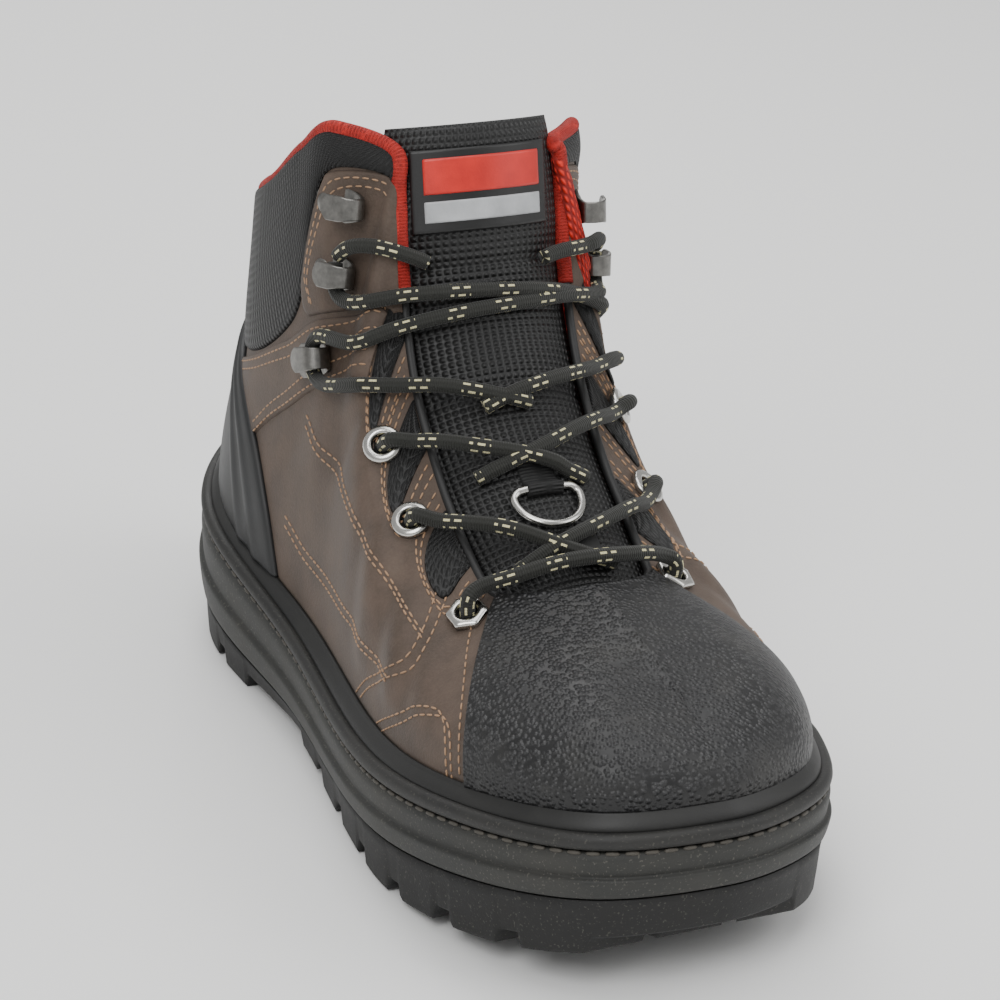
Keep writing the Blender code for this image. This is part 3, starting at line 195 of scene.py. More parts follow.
RIBS = [
    # turn, heading, drop, low handle, high handle, lean
    (0.00, 0.0, 100.0, 0.30, 0.40, 0.0),
    (0.08, 18.0, 100.0, 0.30, 0.40, -1.0),
    (0.16, 48.0, 98.0, 0.30, 0.40, -3.0),
    (0.24, 72.0, 95.0, 0.30, 0.40, -2.0),
    (0.32, 84.0, 93.0, 0.32, 0.36, 0.0),
    (0.39, 90.0, 90.0, 0.34, 0.34, 0.0),
    (0.44, 96.0, 86.0, 0.34, 0.32, 0.0),
    (0.51, 106.0, 68.0, 0.34, 0.32, 2.0),
    (0.59, 102.0, 57.0, 0.34, 0.30, 5.0),
    (0.65, 96.0, 48.0, 0.34, 0.30, 7.0),
    (0.70, 94.0, 34.0, 0.34, 0.30, 8.0),
    (0.765, 94.0, 12.0, 0.34, 0.30, 8.0),
    (0.82, 98.0, 12.0, 0.35, 0.31, 8.0),
    (0.88, 118.0, 15.0, 0.39, 0.34, 7.0),
    (0.95, 150.0, 20.0, 0.42, 0.40, 6.0),
    (1.00, 180.0, 24.0, 0.44, 0.42, 5.0),
]
THROAT_END = 0.765
FLAP_STAND = WALL + 4 * GAP

# Fasteners on the upper; tilt turns a hook's front end up
FASTENERS = [
    # name, kind, side, turn, rise, tilt in degrees
    ("eyelet_lateral_1", "hex", -1, 0.700, 0.815, 0.0),
    ("eyelet_lateral_2", "round", -1, 0.630, 0.785, 0.0),
    ("eyelet_lateral_3", "round", -1, 0.584, 0.750, 0.0),
    ("eyelet_medial_1", "hex", 1, 0.698, 0.845, 0.0),
    ("eyelet_medial_2", "round", 1, 0.620, 0.720, 0.0),
    ("eyelet_medial_3", "round", 1, 0.576, 0.730, 0.0),
    ("drain_medial_1", "drain", 1, 0.474, 0.110, 0.0),
    ("drain_medial_2", "drain", 1, 0.522, 0.110, 0.0),
    ("hook_lateral_1", "hook", -1, 0.440, 0.525, 22.0),
    ("hook_lateral_2", "hook", -1, 0.452, 0.715, 10.0),
    ("hook_lateral_3", "hook", -1, 0.450, 0.850, 10.0),
    ("hook_medial_1", "hook", 1, 0.446, 0.520, 22.0),
    ("hook_medial_2", "hook", 1, 0.456, 0.715, 10.0),
    ("hook_medial_3", "hook", 1, 0.454, 0.830, 10.0),
]
EYELET_BORE = 3.0 * MM
EYELET_FLANGE = 5.8 * MM
DRAIN_BORE = 2.2 * MM
DRAIN_FLANGE = 4.6 * MM
BARREL_WALL = 0.7 * MM
HOOK_LENGTH = 20.0 * MM
HOOK_WIDTH = 10.5 * MM
HOOK_METAL = 1.2 * MM
LACE_ROUND = 4.5 * MM

# Toe cap: where its rear seam stands on each rib height
CAP_SEAM = [
    # rise, turn
    (0.00, 0.735),
    (0.35, 0.732),
    (0.70, 0.722),
    (1.00, 0.706),
]
# Heel counter: its front edge at each rib height, and its bumps at the back
COUNTER_EDGE = [
    # rise, turn
    (0.00, 0.400),
    (0.15, 0.378),
    (0.30, 0.345),
    (0.42, 0.300),
    (0.52, 0.235),
    (0.58, 0.150),
]
COUNTER_BUMPS = [
    # rise, reach in rise, reach in turn, height
    (0.31, 0.075, 0.16, 4.0),
    (0.08, 0.070, 0.18, 2.5),
]


# Curves through the tables

def column_curve(rows, column, at):
    """Smooth cubic through one column of a table whose first column is the parameter."""
    table = np.array(rows, float)
    xs, ys = table[:, 0], table[:, column]
    count, step = len(xs), np.diff(xs)
    left_side, right_side = np.eye(count), np.zeros(count)
    for i in range(1, count - 1):
        left_side[i, i - 1:i + 2] = step[i - 1], 2 * (step[i - 1] + step[i]), step[i]
        right_side[i] = 6 * ((ys[i + 1] - ys[i]) / step[i] - (ys[i] - ys[i - 1]) / step[i - 1])
    bend = np.linalg.solve(left_side, right_side)
    at = np.asarray(at, float)
    k = np.clip(np.searchsorted(xs, at) - 1, 0, count - 2)
    past, left, width = at - xs[k], xs[k + 1] - at, step[k]
    return ((bend[k] * left ** 3 + bend[k + 1] * past ** 3) / (6 * width)
            + (ys[k] / width - bend[k] * width / 6) * left
            + (ys[k + 1] / width - bend[k + 1] * width / 6) * past)


def calm_curve(rows, column, at):
    """Cubic through a column that never swings past its rows."""
    table = np.array(rows, float)
    xs, ys = table[:, 0], table[:, column]
    step = np.diff(xs)
    slope = np.diff(ys) / step
    lean = np.concatenate([[slope[0]], (slope[:-1] + slope[1:]) / 2, [slope[-1]]])
    turning = np.concatenate([[False], slope[:-1] * slope[1:] <= 0, [False]])
    lean = np.where(turning, 0, lean)
    limit = 3 * np.minimum(abs(np.concatenate([[slope[0]], slope])), abs(np.concatenate([slope, [slope[-1]]])))
    lean = np.clip(lean, -limit, limit)
    at = np.asarray(at, float)
    k = np.clip(np.searchsorted(xs, at) - 1, 0, len(step) - 1)
    t = (at - xs[k]) / step[k]
    return ((1 + 2 * t) * (1 - t) ** 2 * ys[k] + t * (1 - t) ** 2 * step[k] * lean[k]
            + t * t * (3 - 2 * t) * ys[k + 1] + t * t * (t - 1) * step[k] * lean[k + 1])


def unit(vectors):
    return vectors / np.maximum(np.linalg.norm(vectors, axis=-1, keepdims=True), 1e-12)


# The sole's outline and heights; side is -1 lateral, 1 medial; turn runs 0 heel to 1 toe

def station(turn):
    return (1 - np.cos(np.pi * np.asarray(turn, float))) / 2


def turn_at(along):
    return np.arccos(1 - 2 * np.clip(np.asarray(along, float) / SOLE_LENGTH, 0, 1)) / np.pi


def rim(side, turn):
    column = 1 if side < 0 else 2
    half = column_curve(RIM_OUTLINE, column, turn) * ACROSS
    return np.stack([side * half, station(turn) * SOLE_LENGTH], -1)


def outward(side, turn):
    turn = np.asarray(turn, float)
    run = rim(side, np.clip(turn + 0.004, 0, 1)) - rim(side, np.clip(turn - 0.004, 0, 1))
    normal = np.stack([run[..., 1] * side, -run[..., 0] * side], -1)
    normal = np.where((turn < 1e-6)[..., None], np.array([0.0, -1.0]), normal)
    normal = np.where((turn > 1 - 1e-6)[..., None], np.array([0.0, 1.0]), normal)
    return unit(normal)


def edge_loop(side, turn, inset):
    return rim(side, turn) - outward(side, turn) * np.broadcast_to(inset, np.shape(turn))[..., None]


def sole_height(column, along):
    return column_curve(SOLE_LINES, column, np.asarray(along) / SOLE_LENGTH) * UP


def tread_height(along):
    return calm_curve(TREAD_LINE, 1, np.asarray(along) / SOLE_LENGTH) * UP


# The tongue's face and the upper's face

def tongue_point(share, across, lift=0.0):
    """Point on the tongue's outer face: share runs 0 toe end to 1 top, across is the arc
    length from its middle, lift is the height off the face. Gives point and normal."""
    share, across, lift = np.broadcast_arrays(np.asarray(share, float), across, lift)
    middle = np.stack([column_curve(TONGUE_LINE, 1, share) * ACROSS,
                       column_curve(TONGUE_LINE, 2, share) * ALONG,
                       column_curve(TONGUE_LINE, 3, share) * UP], -1)
    ahead, behind = share + 0.004, share - 0.004
    run = unit(np.stack([
        (column_curve(TONGUE_LINE, 2, ahead) - column_curve(TONGUE_LINE, 2, behind)) * ALONG,
        (column_curve(TONGUE_LINE, 3, ahead) - column_curve(TONGUE_LINE, 3, behind)) * UP], -1))
    face = np.stack([np.zeros_like(share), run[..., 1], -run[..., 0]], -1)
    angle = across / TONGUE_ROUND
    radius = TONGUE_ROUND + lift
    point = middle + face * (radius * np.cos(angle) - TONGUE_ROUND)[..., None]
    point[..., 0] += radius * np.sin(angle)
    normal = face * np.cos(angle)[..., None]
    normal[..., 0] += np.sin(angle)
    return point, unit(normal)


def top_edge(side, turn):
    """Upper end of each rib: the collar, the throat's edge, then the ridge of the vamp."""
    rows = []
    for at, lateral, medial, along, high_lateral, high_medial in COLLAR:
        across, high = (lateral, high_lateral) if side < 0 else (medial, high_medial)
        rows.append((at, across * ACROSS, along * ALONG, high * UP))
    for at, share, lateral, medial in THROAT:
        across = (lateral if side < 0 else medial) * ACROSS
        point, _ = tongue_point(share, side * across, FLAP_STAND)
        rows.append((at, point[0], point[1], point[2]))
    opened = np.stack([calm_curve(rows, c, turn) for c in (1, 2, 3)], -1)
    ridge = [rows[-1]]
    for at, across, along, high in RIDGE[1:]:
        ridge.append((at, across * ACROSS, along * ALONG, high * UP))
    closed = np.stack([column_curve(ridge, c, turn) for c in (1, 2, 3)], -1)
    return np.where((np.asarray(turn) >= THROAT_END)[..., None], closed, opened)


def feather(side, turn):
    """Foot of the upper on the midsole, and the line where it leaves the rand."""
    low = edge_loop(side, turn, FEATHER_LOW)
    top = edge_loop(side, turn, FEATHER_TOP)
    low_high = sole_height(2, low[..., 1]) + GAP
    top_high = sole_height(1, top[..., 1])
    return (np.concatenate([low, low_high[..., None]], -1),
            np.concatenate([top, top_high[..., None]], -1))


def upper_face(side, turn, rise):
    """Outer face of the upper. Rise runs 0 at the rand's top to 1 at the top edge, and
    down to -1 at the foot behind the rand. Each rib is a cubic from foot to edge."""
    turn, rise = np.broadcast_arrays(np.asarray(turn, float), np.asarray(rise, float))
    low, start = feather(side, turn)
    end = top_edge(side, turn)
    lean = np.radians(column_curve(RIBS, 5, turn))
    away = outward(side, turn)
    climb = np.concatenate([away * np.sin(lean)[..., None], np.cos(lean)[..., None]], -1)
    head = np.radians(calm_curve(RIBS, 1, turn))
    drop = np.radians(calm_curve(RIBS, 2, turn))
    fall = np.stack([side * np.sin(head) * np.cos(drop), -np.cos(head) * np.cos(drop), -np.sin(drop)], -1)
    reach = np.linalg.norm(end - start, axis=-1)
    first = start + climb * (calm_curve(RIBS, 3, turn) * reach)[..., None]
    second = end + fall * (calm_curve(RIBS, 4, turn) * reach)[..., None]
    v = np.clip(rise, 0, 1)[..., None]
    point = start * (1 - v) ** 3 + 3 * first * v * (1 - v) ** 2 + 3 * second * v * v * (1 - v) + end * v ** 3
    return np.where((rise < 0)[..., None], start + (low - start) * -rise[..., None], point)


def upper_normal(side, turn, rise):
    turn, rise = np.broadcast_arrays(np.asarray(turn, float), np.asarray(rise, float))
    e = 0.004

    def slant(which):
        ahead = upper_face(which, np.clip(turn + e, 0, 1), rise)
        run = ahead - upper_face(which, np.clip(turn - e, 0, 1), rise)
        climb = upper_face(which, turn, np.minimum(rise + e, 1)) - upper_face(which, turn, rise - e)
        return unit(np.cross(run, climb) * which)
    own = slant(side)
    other = slant(-side)
    shared = (turn < 1e-6) | (turn > 1 - 1e-6) | ((turn >= THROAT_END - 1e-9) & (rise > 1 - 1e-9))
    mean = unit(own + other)
    mean[..., 0] = 0
    return np.where(shared[..., None], unit(mean), own)


def wall_depth(side, turn, rise):
    """Thickness of the upper's wall: thicker in the padded collar, thin at the throat."""
    ramp = np.clip((np.asarray(rise) - 0.45) / 0.25, 0, 1)
    fade = np.clip((0.43 - np.asarray(turn)) / 0.10, 0, 1)
    pad = ramp * ramp * (3 - 2 * ramp) * fade * fade * (3 - 2 * fade)
    return WALL + (COLLAR_PAD - WALL) * pad


# Stations that every piece round the boot shares, so that their facets run side by side

TURNS = np.concatenate([np.linspace(0, 0.705, 18), np.linspace(0.705, THROAT_END, 4)[1:],
                        np.linspace(THROAT_END, 1, 9)[1:]])
MID_ACROSS = (rim(1, TURNS)[:, 0].max() + rim(-1, TURNS)[:, 0].min()) / 2

# Soft troughs (below zero) and ridges laid on the leather
CREASES = [
    # side (0 both), turn, lean, lowest rise, highest rise, width in turn, depth in mm
    (0, 0.668, 0.05, 0.10, 0.90, 0.010, -0.8),
    (0, 0.646, 0.06, 0.08, 0.80, 0.011, 0.8),
    (0, 0.622, 0.07, 0.08, 0.74, 0.011, -1.0),
    (0, 0.596, 0.08, 0.05, 0.70, 0.012, 0.7),
    (0, 0.570, 0.09, 0.05, 0.60, 0.012, -0.7),
    (-1, 0.505, 0.22, 0.30, 0.80, 0.014, -1.1),
    (-1, 0.480, 0.20, 0.28, 0.70, 0.014, 0.8),
    (1, 0.500, 0.20, 0.30, 0.80, 0.014, -1.0),
    (0, 0.440, 0.16, 0.20, 0.60, 0.016, -0.7),
]
# Panels of both sides: lines of (turn, rise) from the heel forward
PANEL_LINES = {
    "collar_low": [(0.0, 0.575), (0.10, 0.570), (0.20, 0.545), (0.28, 0.515), (0.36, 0.555), (0.400, 0.62),
                   (0.414, 0.72), (0.420, 0.82), (0.434, 0.905), (0.484, 0.955)],
    "collar_high": [(0.0, 1.0), (0.12, 1.0), (0.25, 1.0), (0.38, 1.0), (0.494, 1.0)],
    "strap_low": [(0.340, 0.29), (0.368, 0.35), (0.442, 0.47), (0.505, 0.60), (0.538, 0.68)],
    "strap_high": [(0.240, 0.46), (0.340, 0.53), (0.420, 0.585), (0.470, 0.655), (0.545, 0.90)],
    "stay_low": [(0.434, 0.905), (0.420, 0.82), (0.408, 0.68), (0.424, 0.605), (0.470, 0.665), (0.515, 0.80),
                 (0.552, 0.93)],
    "stay_high": [(0.484, 0.958), (0.500, 0.985), (0.530, 0.99), (0.560, 0.99)],
}
# Windows of each side: turn, lowest rise, half width
PANELS = {
    -1: {**PANEL_LINES, "windows": [(0.557, 0.67, 0.014), (0.607, 0.685, 0.0115), (0.665, 0.73, 0.017)]},
    1: {**PANEL_LINES, "windows": [(0.549, 0.67, 0.013), (0.598, 0.68, 0.011), (0.660, 0.73, 0.017)]},
}
# Seams: line of (turn, rise), step to its second row, height in mm
OVERLAY_SEAMS = [
    ([(0.345, 0.305), (0.372, 0.368), (0.446, 0.488), (0.500, 0.618), (0.530, 0.71)], (-0.003, 0.024), 1.15),
    ([(0.265, 0.462), (0.340, 0.512), (0.420, 0.567), (0.466, 0.632), (0.538, 0.86)], (0.004, -0.024), 1.15),
    ([(0.480, 0.940), (0.441, 0.890), (0.427, 0.81), (0.416, 0.70), (0.427, 0.640)], (0.005, -0.012), 1.25),
]
STITCHES = {
    -1: [
        ([(0.672, 0.945), (0.680, 0.72), (0.676, 0.545), (0.656, 0.345), (0.562, 0.01)], (-0.009, 0.0), 0.1),
        ([(0.698, 0.985), (0.706, 0.80), (0.722, 0.415), (0.726, 0.02)], None, 0.1),
        ([(0.600, 0.01), (0.640, 0.13), (0.672, 0.25), (0.698, 0.315), (0.708, 0.24), (0.710, 0.02)],
         (0.006, -0.02), 0.1),
        ([(0.426, 0.40), (0.460, 0.365), (0.558, 0.43), (0.630, 0.54), (0.672, 0.555)], (0.0, -0.022), 0.1),
        ([(0.405, 0.16), (0.442, 0.13), (0.534, 0.165), (0.632, 0.24)], (0.0, -0.022), 0.1),
        *OVERLAY_SEAMS,
    ],
    1: [
        ([(0.672, 0.985), (0.672, 0.81), (0.634, 0.46), (0.602, 0.245), (0.552, 0.01)], (-0.009, 0.0), 0.1),
        ([(0.698, 0.985), (0.706, 0.80), (0.722, 0.415), (0.726, 0.02)], None, 0.1),
        ([(0.592, 0.01), (0.620, 0.15), (0.672, 0.34), (0.684, 0.055)], (0.006, -0.02), 0.1),
        ([(0.434, 0.38), (0.486, 0.32), (0.550, 0.33), (0.622, 0.37)], (0.0, -0.022), 0.1),
        ([(0.405, 0.135), (0.508, 0.055), (0.578, 0.05)], None, 0.1),
        *OVERLAY_SEAMS,
    ],
}


# Fasteners' and lace's own shapes

def world(points):
    """x = across - middle, y = half the sole's length - along, z = up."""
    points = np.asarray(points, float)
    return np.stack([points[..., 0] - MID_ACROSS, SOLE_LENGTH / 2 - points[..., 1], points[..., 2]], -1)


def surface_frame(side, turn, rise, tilt=0.0):
    """Place on the upper: origin, forward along the boot, up, and the outward normal."""
    origin = upper_face(side, turn, rise)
    normal = upper_normal(side, turn, rise)
    forward = np.array([0.0, 1.0, 0.0])
    forward = unit(forward - normal * forward.dot(normal))
    upward = np.cross(normal, forward)
    upward = upward * np.sign(upward[2] + 1e-9)
    angle = np.radians(tilt)
    ahead = forward * np.cos(angle) + upward * np.sin(angle)
    return origin, ahead, np.cross(ahead, normal) * np.sign(np.cross(ahead, normal)[2] + 1e-9), normal


def placed(frame, local):
    """Local points (ahead, up, out) carried onto the frame."""
    origin, ahead, upward, normal = frame
    local = np.asarray(local, float)
    return origin + local[..., :1] * ahead + local[..., 1:2] * upward + local[..., 2:] * normal


def seated(tree, frame, spots):
    """Frame turned to lie along the ground under local spots (ahead, up), and the ground's
    highest place there, measured along its normal."""
    for turn in range(3):
        down = world(frame[0] - frame[3]) - world(frame[0])
        rows = []
        for ahead, up in spots:
            start = world(placed(frame, [ahead, up, 9 * MM]))
            hit = tree.ray_cast(tuple(start), tuple(down), 18 * MM)
            if hit[0] is not None:
                rows.append((ahead, up, 9 * MM - hit[3]))
        rows = np.array(rows)
        if turn < 2:
            flat = np.stack([rows[:, 0], rows[:, 1], np.ones(len(rows))], -1)
            slope = np.linalg.lstsq(flat, rows[:, 2], rcond=None)[0]
            origin, ahead, upward, normal = frame
            lean = unit(normal - ahead * slope[0] - upward * slope[1])
            ahead = unit(ahead - lean * ahead.dot(lean))
            frame = (origin, ahead, unit(upward - lean * upward.dot(lean) - ahead * upward.dot(ahead)), lean)
    return frame, rows[:, 2].max()


def laid_over(route, tree, clear, spacing):
    """Route moved off the ground wherever it is nearer than clear, smoothed between, and
    sampled about every spacing."""
    route = np.array(route, float)
    for turn in range(10):
        for i, point in enumerate(route):
            here = world(point)
            near, _, _, far = tree.find_nearest(tuple(here))
            if far < clear:
                here = np.array(near) + (here - np.array(near)) / max(far, 1e-6) * clear
                route[i] = [here[0] + MID_ACROSS, SOLE_LENGTH / 2 - here[1], here[2]]
        if turn < 8:
            route[1:-1] = (route[:-2] + 2 * route[1:-1] + route[2:]) / 4
    run = np.concatenate([[0], np.cumsum(np.linalg.norm(np.diff(route, axis=0), axis=1))])
    at = np.linspace(0, run[-1], max(4, int(round(run[-1] / spacing)) + 1))
    return np.stack([np.interp(at, run, route[:, c]) for c in range(3)], -1)


HOOK_STRIP = [
    # ahead as a share of the length, out in clear laces' rounds above the plate, width share
    (-0.500, 0.00, 0.45),
    (-0.440, 0.00, 0.80),
    (-0.340, 0.00, 1.00),
    (0.050, 0.00, 1.00),
    (0.240, 0.00, 0.88),
    (0.400, 0.14, 0.72),
    (0.500, 0.45, 0.60),
    (0.515, 1.02, 0.60),
    (0.450, 1.56, 0.62),
    (0.310, 1.74, 0.72),
    (0.100, 1.72, 0.72),
    (-0.050, 1.66, 0.50),
]


# Lace: each row is a point the lace passes. T is a place on the tongue (share, across, lift),
# L and M are places on the lateral and medial upper (turn, rise, lift), and a hook's name
# gives a place on its plate (ahead, up, lift). Across, ahead, up and lift are in millimetres.
LACE_BAR = [
    ("L", 0.700, 0.815, 4.4),
    ("L", 0.700, 0.930, 5.2),
    ("T", 0.139, -20.0, 8.4),
    ("T", 0.138, -9.0, 7.0),
    ("T", 0.138, 4.0, 6.6),
    ("T", 0.145, 18.0, 8.0),
    ("M", 0.698, 0.940, 5.2),
    ("M", 0.698, 0.845, 4.4),
]
LACE_FIRST_OVER = [
    ("L", 0.630, 0.785, 4.4),
    ("T", 0.297, -31.5, 8.2),
    ("T", 0.262, -24.0, 7.8),
    ("T", 0.219, -13.0, 5.8),
    ("T", 0.178, -4.0, 4.2),
    ("T", 0.150, 6.0, 3.0),
    ("T", 0.140, 11.0, 2.75),
]
LACE_FIRST_UNDER = [
    ("M", 0.620, 0.720, 4.4),
    ("T", 0.266, 30.5, 8.4),
    ("T", 0.247, 24.0, 8.0),
    ("T", 0.219, 14.5, 5.8),
    ("T", 0.178, -4.0, 4.2),
    ("T", 0.165, -12.0, 3.0),
    ("T", 0.158, -16.5, 2.75),
]
LACE_SECOND_OVER = [
    ("L", 0.584, 0.750, 4.4),
    ("T", 0.436, -32.0, 8.4),
    ("T", 0.413, -23.0, 8.0),
    ("T", 0.378, -12.5, 6.2),
    ("T", 0.352, -2.0, 4.4),
    ("T", 0.318, 8.0, 3.0),
    ("T", 0.305, 14.0, 2.75),
]
LACE_SECOND_UNDER = [
    ("M", 0.576, 0.730, 4.4),
    ("T", 0.436, 32.0, 8.8),
    ("T", 0.418, 24.5, 8.4),
    ("T", 0.390, 13.5, 6.8),
    ("T", 0.352, -2.0, 4.4),
    ("T", 0.342, -11.0, 3.0),
    ("T", 0.337, -17.0, 2.75),
]
HOOK_TURN = [
    # ahead, up, lift off the plate round a hook's neck, from its lower side to its upper side
    (6.9, -6.9, 3.9),
    (4.3, -3.5, 3.9),
    (4.3, 3.5, 3.9),
    (6.9, 6.9, 3.9),
]
LACE_THIRD_MEDIAL = [
    ("T", 0.450, -9.0, 2.9),
    ("T", 0.460, -3.0, 4.2),
    ("T", 0.480, 11.0, 5.4),
    ("T", 0.500, 25.0, 7.6),
    ("T", 0.513, 32.0, 8.4),
    ("T", 0.527, 38.0, 11.6),
    ("hook_medial_1",),
    ("T", 0.607, 39.0, 10.6),
    ("T", 0.620, 33.0, 8.6),
    ("T", 0.636, 15.0, 4.8),
    ("T", 0.645, -3.0, 3.6),
    ("T", 0.652, -19.0, 6.6),
    ("T", 0.654, -26.5, 7.8),
    ("T", 0.652, -32.5, 9.8),
    ("hook_lateral_2",),
]
LACE_THIRD_LATERAL = [
    ("T", 0.448, 4.0, 2.9),
    ("T", 0.460, -3.0, 4.2),
    ("T", 0.498, -19.0, 6.8),
    ("T", 0.513, -27.0, 7.8),
    ("T", 0.524, -33.0, 9.6),
    ("T", 0.534, -37.5, 12.0),
    ("hook_lateral_1",),
    ("T", 0.592, -36.5, 11.0),
    ("T", 0.598, -31.0, 9.0),
    ("T", 0.606, -20.0, 6.4),
    ("T", 0.612, -8.0, 4.2),
    ("T", 0.617, 8.0, 4.0),
    ("T", 0.624, 27.0, 7.4),
    ("T", 0.624, 34.0, 9.6),
    ("hook_medial_2",),
]
LACE_END_LATERAL = [
    ("hook_lateral_2", 5.2, 5.7, 3.9),
    ("hook_lateral_2", 6.8, 7.7, 3.95),
    ("hook_lateral_2", 10.4, 9.5, 4.4),
    ("T", 0.744, -28.5, 9.0),
    ("T", 0.731, -24.5, 8.4),
    ("T", 0.721, -21.5, 5.6),
    ("T", 0.713, -19.5, 3.6),
    ("T", 0.706, -18.0, 2.9),
]
LACE_END_MEDIAL = [
    ("hook_medial_2", 5.2, 5.7, 3.9),
    ("hook_medial_2", 6.8, 7.7, 3.95),
    ("hook_medial_2", 10.8, 9.0, 4.4),
    ("T", 0.706, 33.5, 9.0),
    ("T", 0.704, 29.0, 8.2),
    ("T", 0.702, 24.5, 5.6),
    ("T", 0.698, 21.0, 3.6),
    ("T", 0.692, 18.5, 2.9),
]


def lace_route(rows, spacing, plates):
    """Smooth curve through a lace's rows, sampled about every spacing; plates gives each
    hook's frame and the height of its plate."""
    stops = []
    for row in rows:
        if row[0] == "T":
            point, _ = tongue_point(row[1], row[2] * MM, row[3] * MM)
            stops.append(point)
        elif row[0] in "LM":
            side = -1 if row[0] == "L" else 1
            stops.append(upper_face(side, row[1], row[2]) + upper_normal(side, row[1], row[2]) * row[3] * MM)
        elif len(row) == 1:
            frame, seat = plates[row[0]]
            turns = HOOK_TURN[:-1] if row is rows[-1] else HOOK_TURN
            stops += [placed(frame, np.array(turn) * MM + [0.0, 0.0, seat]) for turn in turns]
        else:
            frame, seat = plates[row[0]]
            stops.append(placed(frame, np.array(row[1:]) * MM + [0.0, 0.0, seat]))
    stops = np.array(stops)
    pace = np.concatenate([[0], np.cumsum(np.linalg.norm(np.diff(stops, axis=0), axis=1) ** 0.6)])
    table = np.concatenate([pace[:, None], stops], 1)
    fine = np.stack([column_curve(table, c, np.linspace(0, pace[-1], 400)) for c in (1, 2, 3)], -1)
    run = np.concatenate([[0], np.cumsum(np.linalg.norm(np.diff(fine, axis=0), axis=1))])
    count = max(4, int(round(run[-1] / spacing)) + 1)
    at = np.linspace(0, run[-1], count)
    return np.stack([np.interp(at, run, fine[:, c]) for c in range(3)], -1)


LACE_HUMP = 2.2 * MM

BADGE_WIDE = 44.0 * MM
BADGE_SHARES = (0.755, 0.945)
RING_WIDE = 22.0 * MM
RING_DEEP = 16.0 * MM
RING_WIRE = 2.4 * MM
RING_SHARE = 0.292
# Length of a tenth of the tongue's share there, and the ring's extra stand off the cloth
RING_SLOPE = 19.0 * MM
RING_STAND = 0.4 * MM


# A step of 1 in turn is about this many times as long as one in rise; places on a drawn line
TURN_TO_RISE = 2.2
LINE_PLACES = 600


# Meshes from arrays

def lattice(index):
    """Quads between neighbouring places of an index grid."""
    return np.stack([index[:-1, :-1], index[1:, :-1], index[1:, 1:], index[:-1, 1:]], -1).reshape(-1, 4)


def piece(name, points, faces, materials, uv=None, slots=None, smooth=True, merge=True):
    """Mesh object at the origin from points in the part's own across, along, up."""
    mesh = bpy.data.meshes.new(name)
    points = world(np.asarray(points, float).reshape(-1, 3))
    faces = np.asarray(faces, np.int32)
    mesh.vertices.add(len(points))
    mesh.vertices.foreach_set("co", points.astype(np.float32).ravel())
    mesh.loops.add(faces.size)
    mesh.loops.foreach_set("vertex_index", faces.ravel())
    mesh.polygons.add(len(faces))
    mesh.polygons.foreach_set("loop_start", np.arange(0, faces.size, faces.shape[1], dtype=np.int32))
    mesh.polygons.foreach_set("use_smooth", np.full(len(faces), smooth))
    for material in materials if isinstance(materials, (list, tuple)) else [materials]:
        mesh.materials.append(material)
    if slots is not None:
        mesh.polygons.foreach_set("material_index", np.asarray(slots, np.int32))
    mesh.update(calc_edges=True)
    if uv is not None:
        layer = mesh.uv_layers.new(name="cloth")
        layer.data.foreach_set("uv", np.asarray(uv, np.float32).reshape(-1, 2)[faces.ravel()].ravel())
    if merge:
        work = bmesh.new()
        work.from_mesh(mesh)
        bmesh.ops.remove_doubles(work, verts=work.verts, dist=3e-6)
        bmesh.ops.dissolve_degenerate(work, edges=work.edges, dist=1e-7)
        bmesh.ops.recalc_face_normals(work, faces=work.faces)
        if work.calc_volume(signed=True) < 0:
            bmesh.ops.reverse_faces(work, faces=work.faces)
        work.to_mesh(mesh)
        work.free()
        mesh.polygons.foreach_set("use_smooth", np.full(len(mesh.polygons), smooth))
    shape = bpy.data.objects.new(name, mesh)
    bpy.context.scene.collection.objects.link(shape)
    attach(shape, "root")
    return shape


def arc_uv(grid):
    """UV in metres: mean arc length down each direction of a grid of points."""
    down = np.linalg.norm(np.diff(grid, axis=0), axis=-1).mean(1)
    side = np.linalg.norm(np.diff(grid, axis=1), axis=-1).mean(0)
    u = np.concatenate([[0], np.cumsum(down)])
    v = np.concatenate([[0], np.cumsum(side)])
    return np.stack(np.meshgrid(u, v, indexing="ij"), -1)


def shell(name, outer, inner, materials, inner_slot=0, smooth=True):
    """Closed wall between two grids: both faces and the four borders between them."""
    rows, columns = outer.shape[:2]
    out = np.arange(rows * columns).reshape(rows, columns)
    ins = out + rows * columns
    sets = [lattice(out), lattice(ins)[:, ::-1], lattice(np.stack([ins[0], out[0]])),
            lattice(np.stack([out[-1], ins[-1]])), lattice(np.stack([out[:, 0], ins[:, 0]])),
            lattice(np.stack([ins[:, -1], out[:, -1]]))]
    slots = np.concatenate([np.full(len(s), inner_slot if k == 1 else 0) for k, s in enumerate(sets)])
    uv = np.concatenate([arc_uv(outer).reshape(-1, 2)] * 2)
    return piece(name, np.concatenate([outer.reshape(-1, 3), inner.reshape(-1, 3)]), np.concatenate(sets),
                 materials, uv, slots, smooth)


def loop_ring(name, grid, materials):
    """Grid of levels by places round the boot, closed round."""
    levels, total = grid.shape[:2]
    index = np.arange(levels * total).reshape(levels, total)
    index = np.concatenate([index, index[:, :1]], 1)
    return piece(name, grid.reshape(-1, 3), lattice(index), materials, arc_uv(grid))


def both_sides(count, make):
    """Values of make(side, turns) round the boot: lateral heel to toe, medial back to the heel."""
    turns = np.linspace(0, 1, count)
    return np.concatenate([make(-1, turns), make(1, turns[-2:0:-1])], axis=-2)


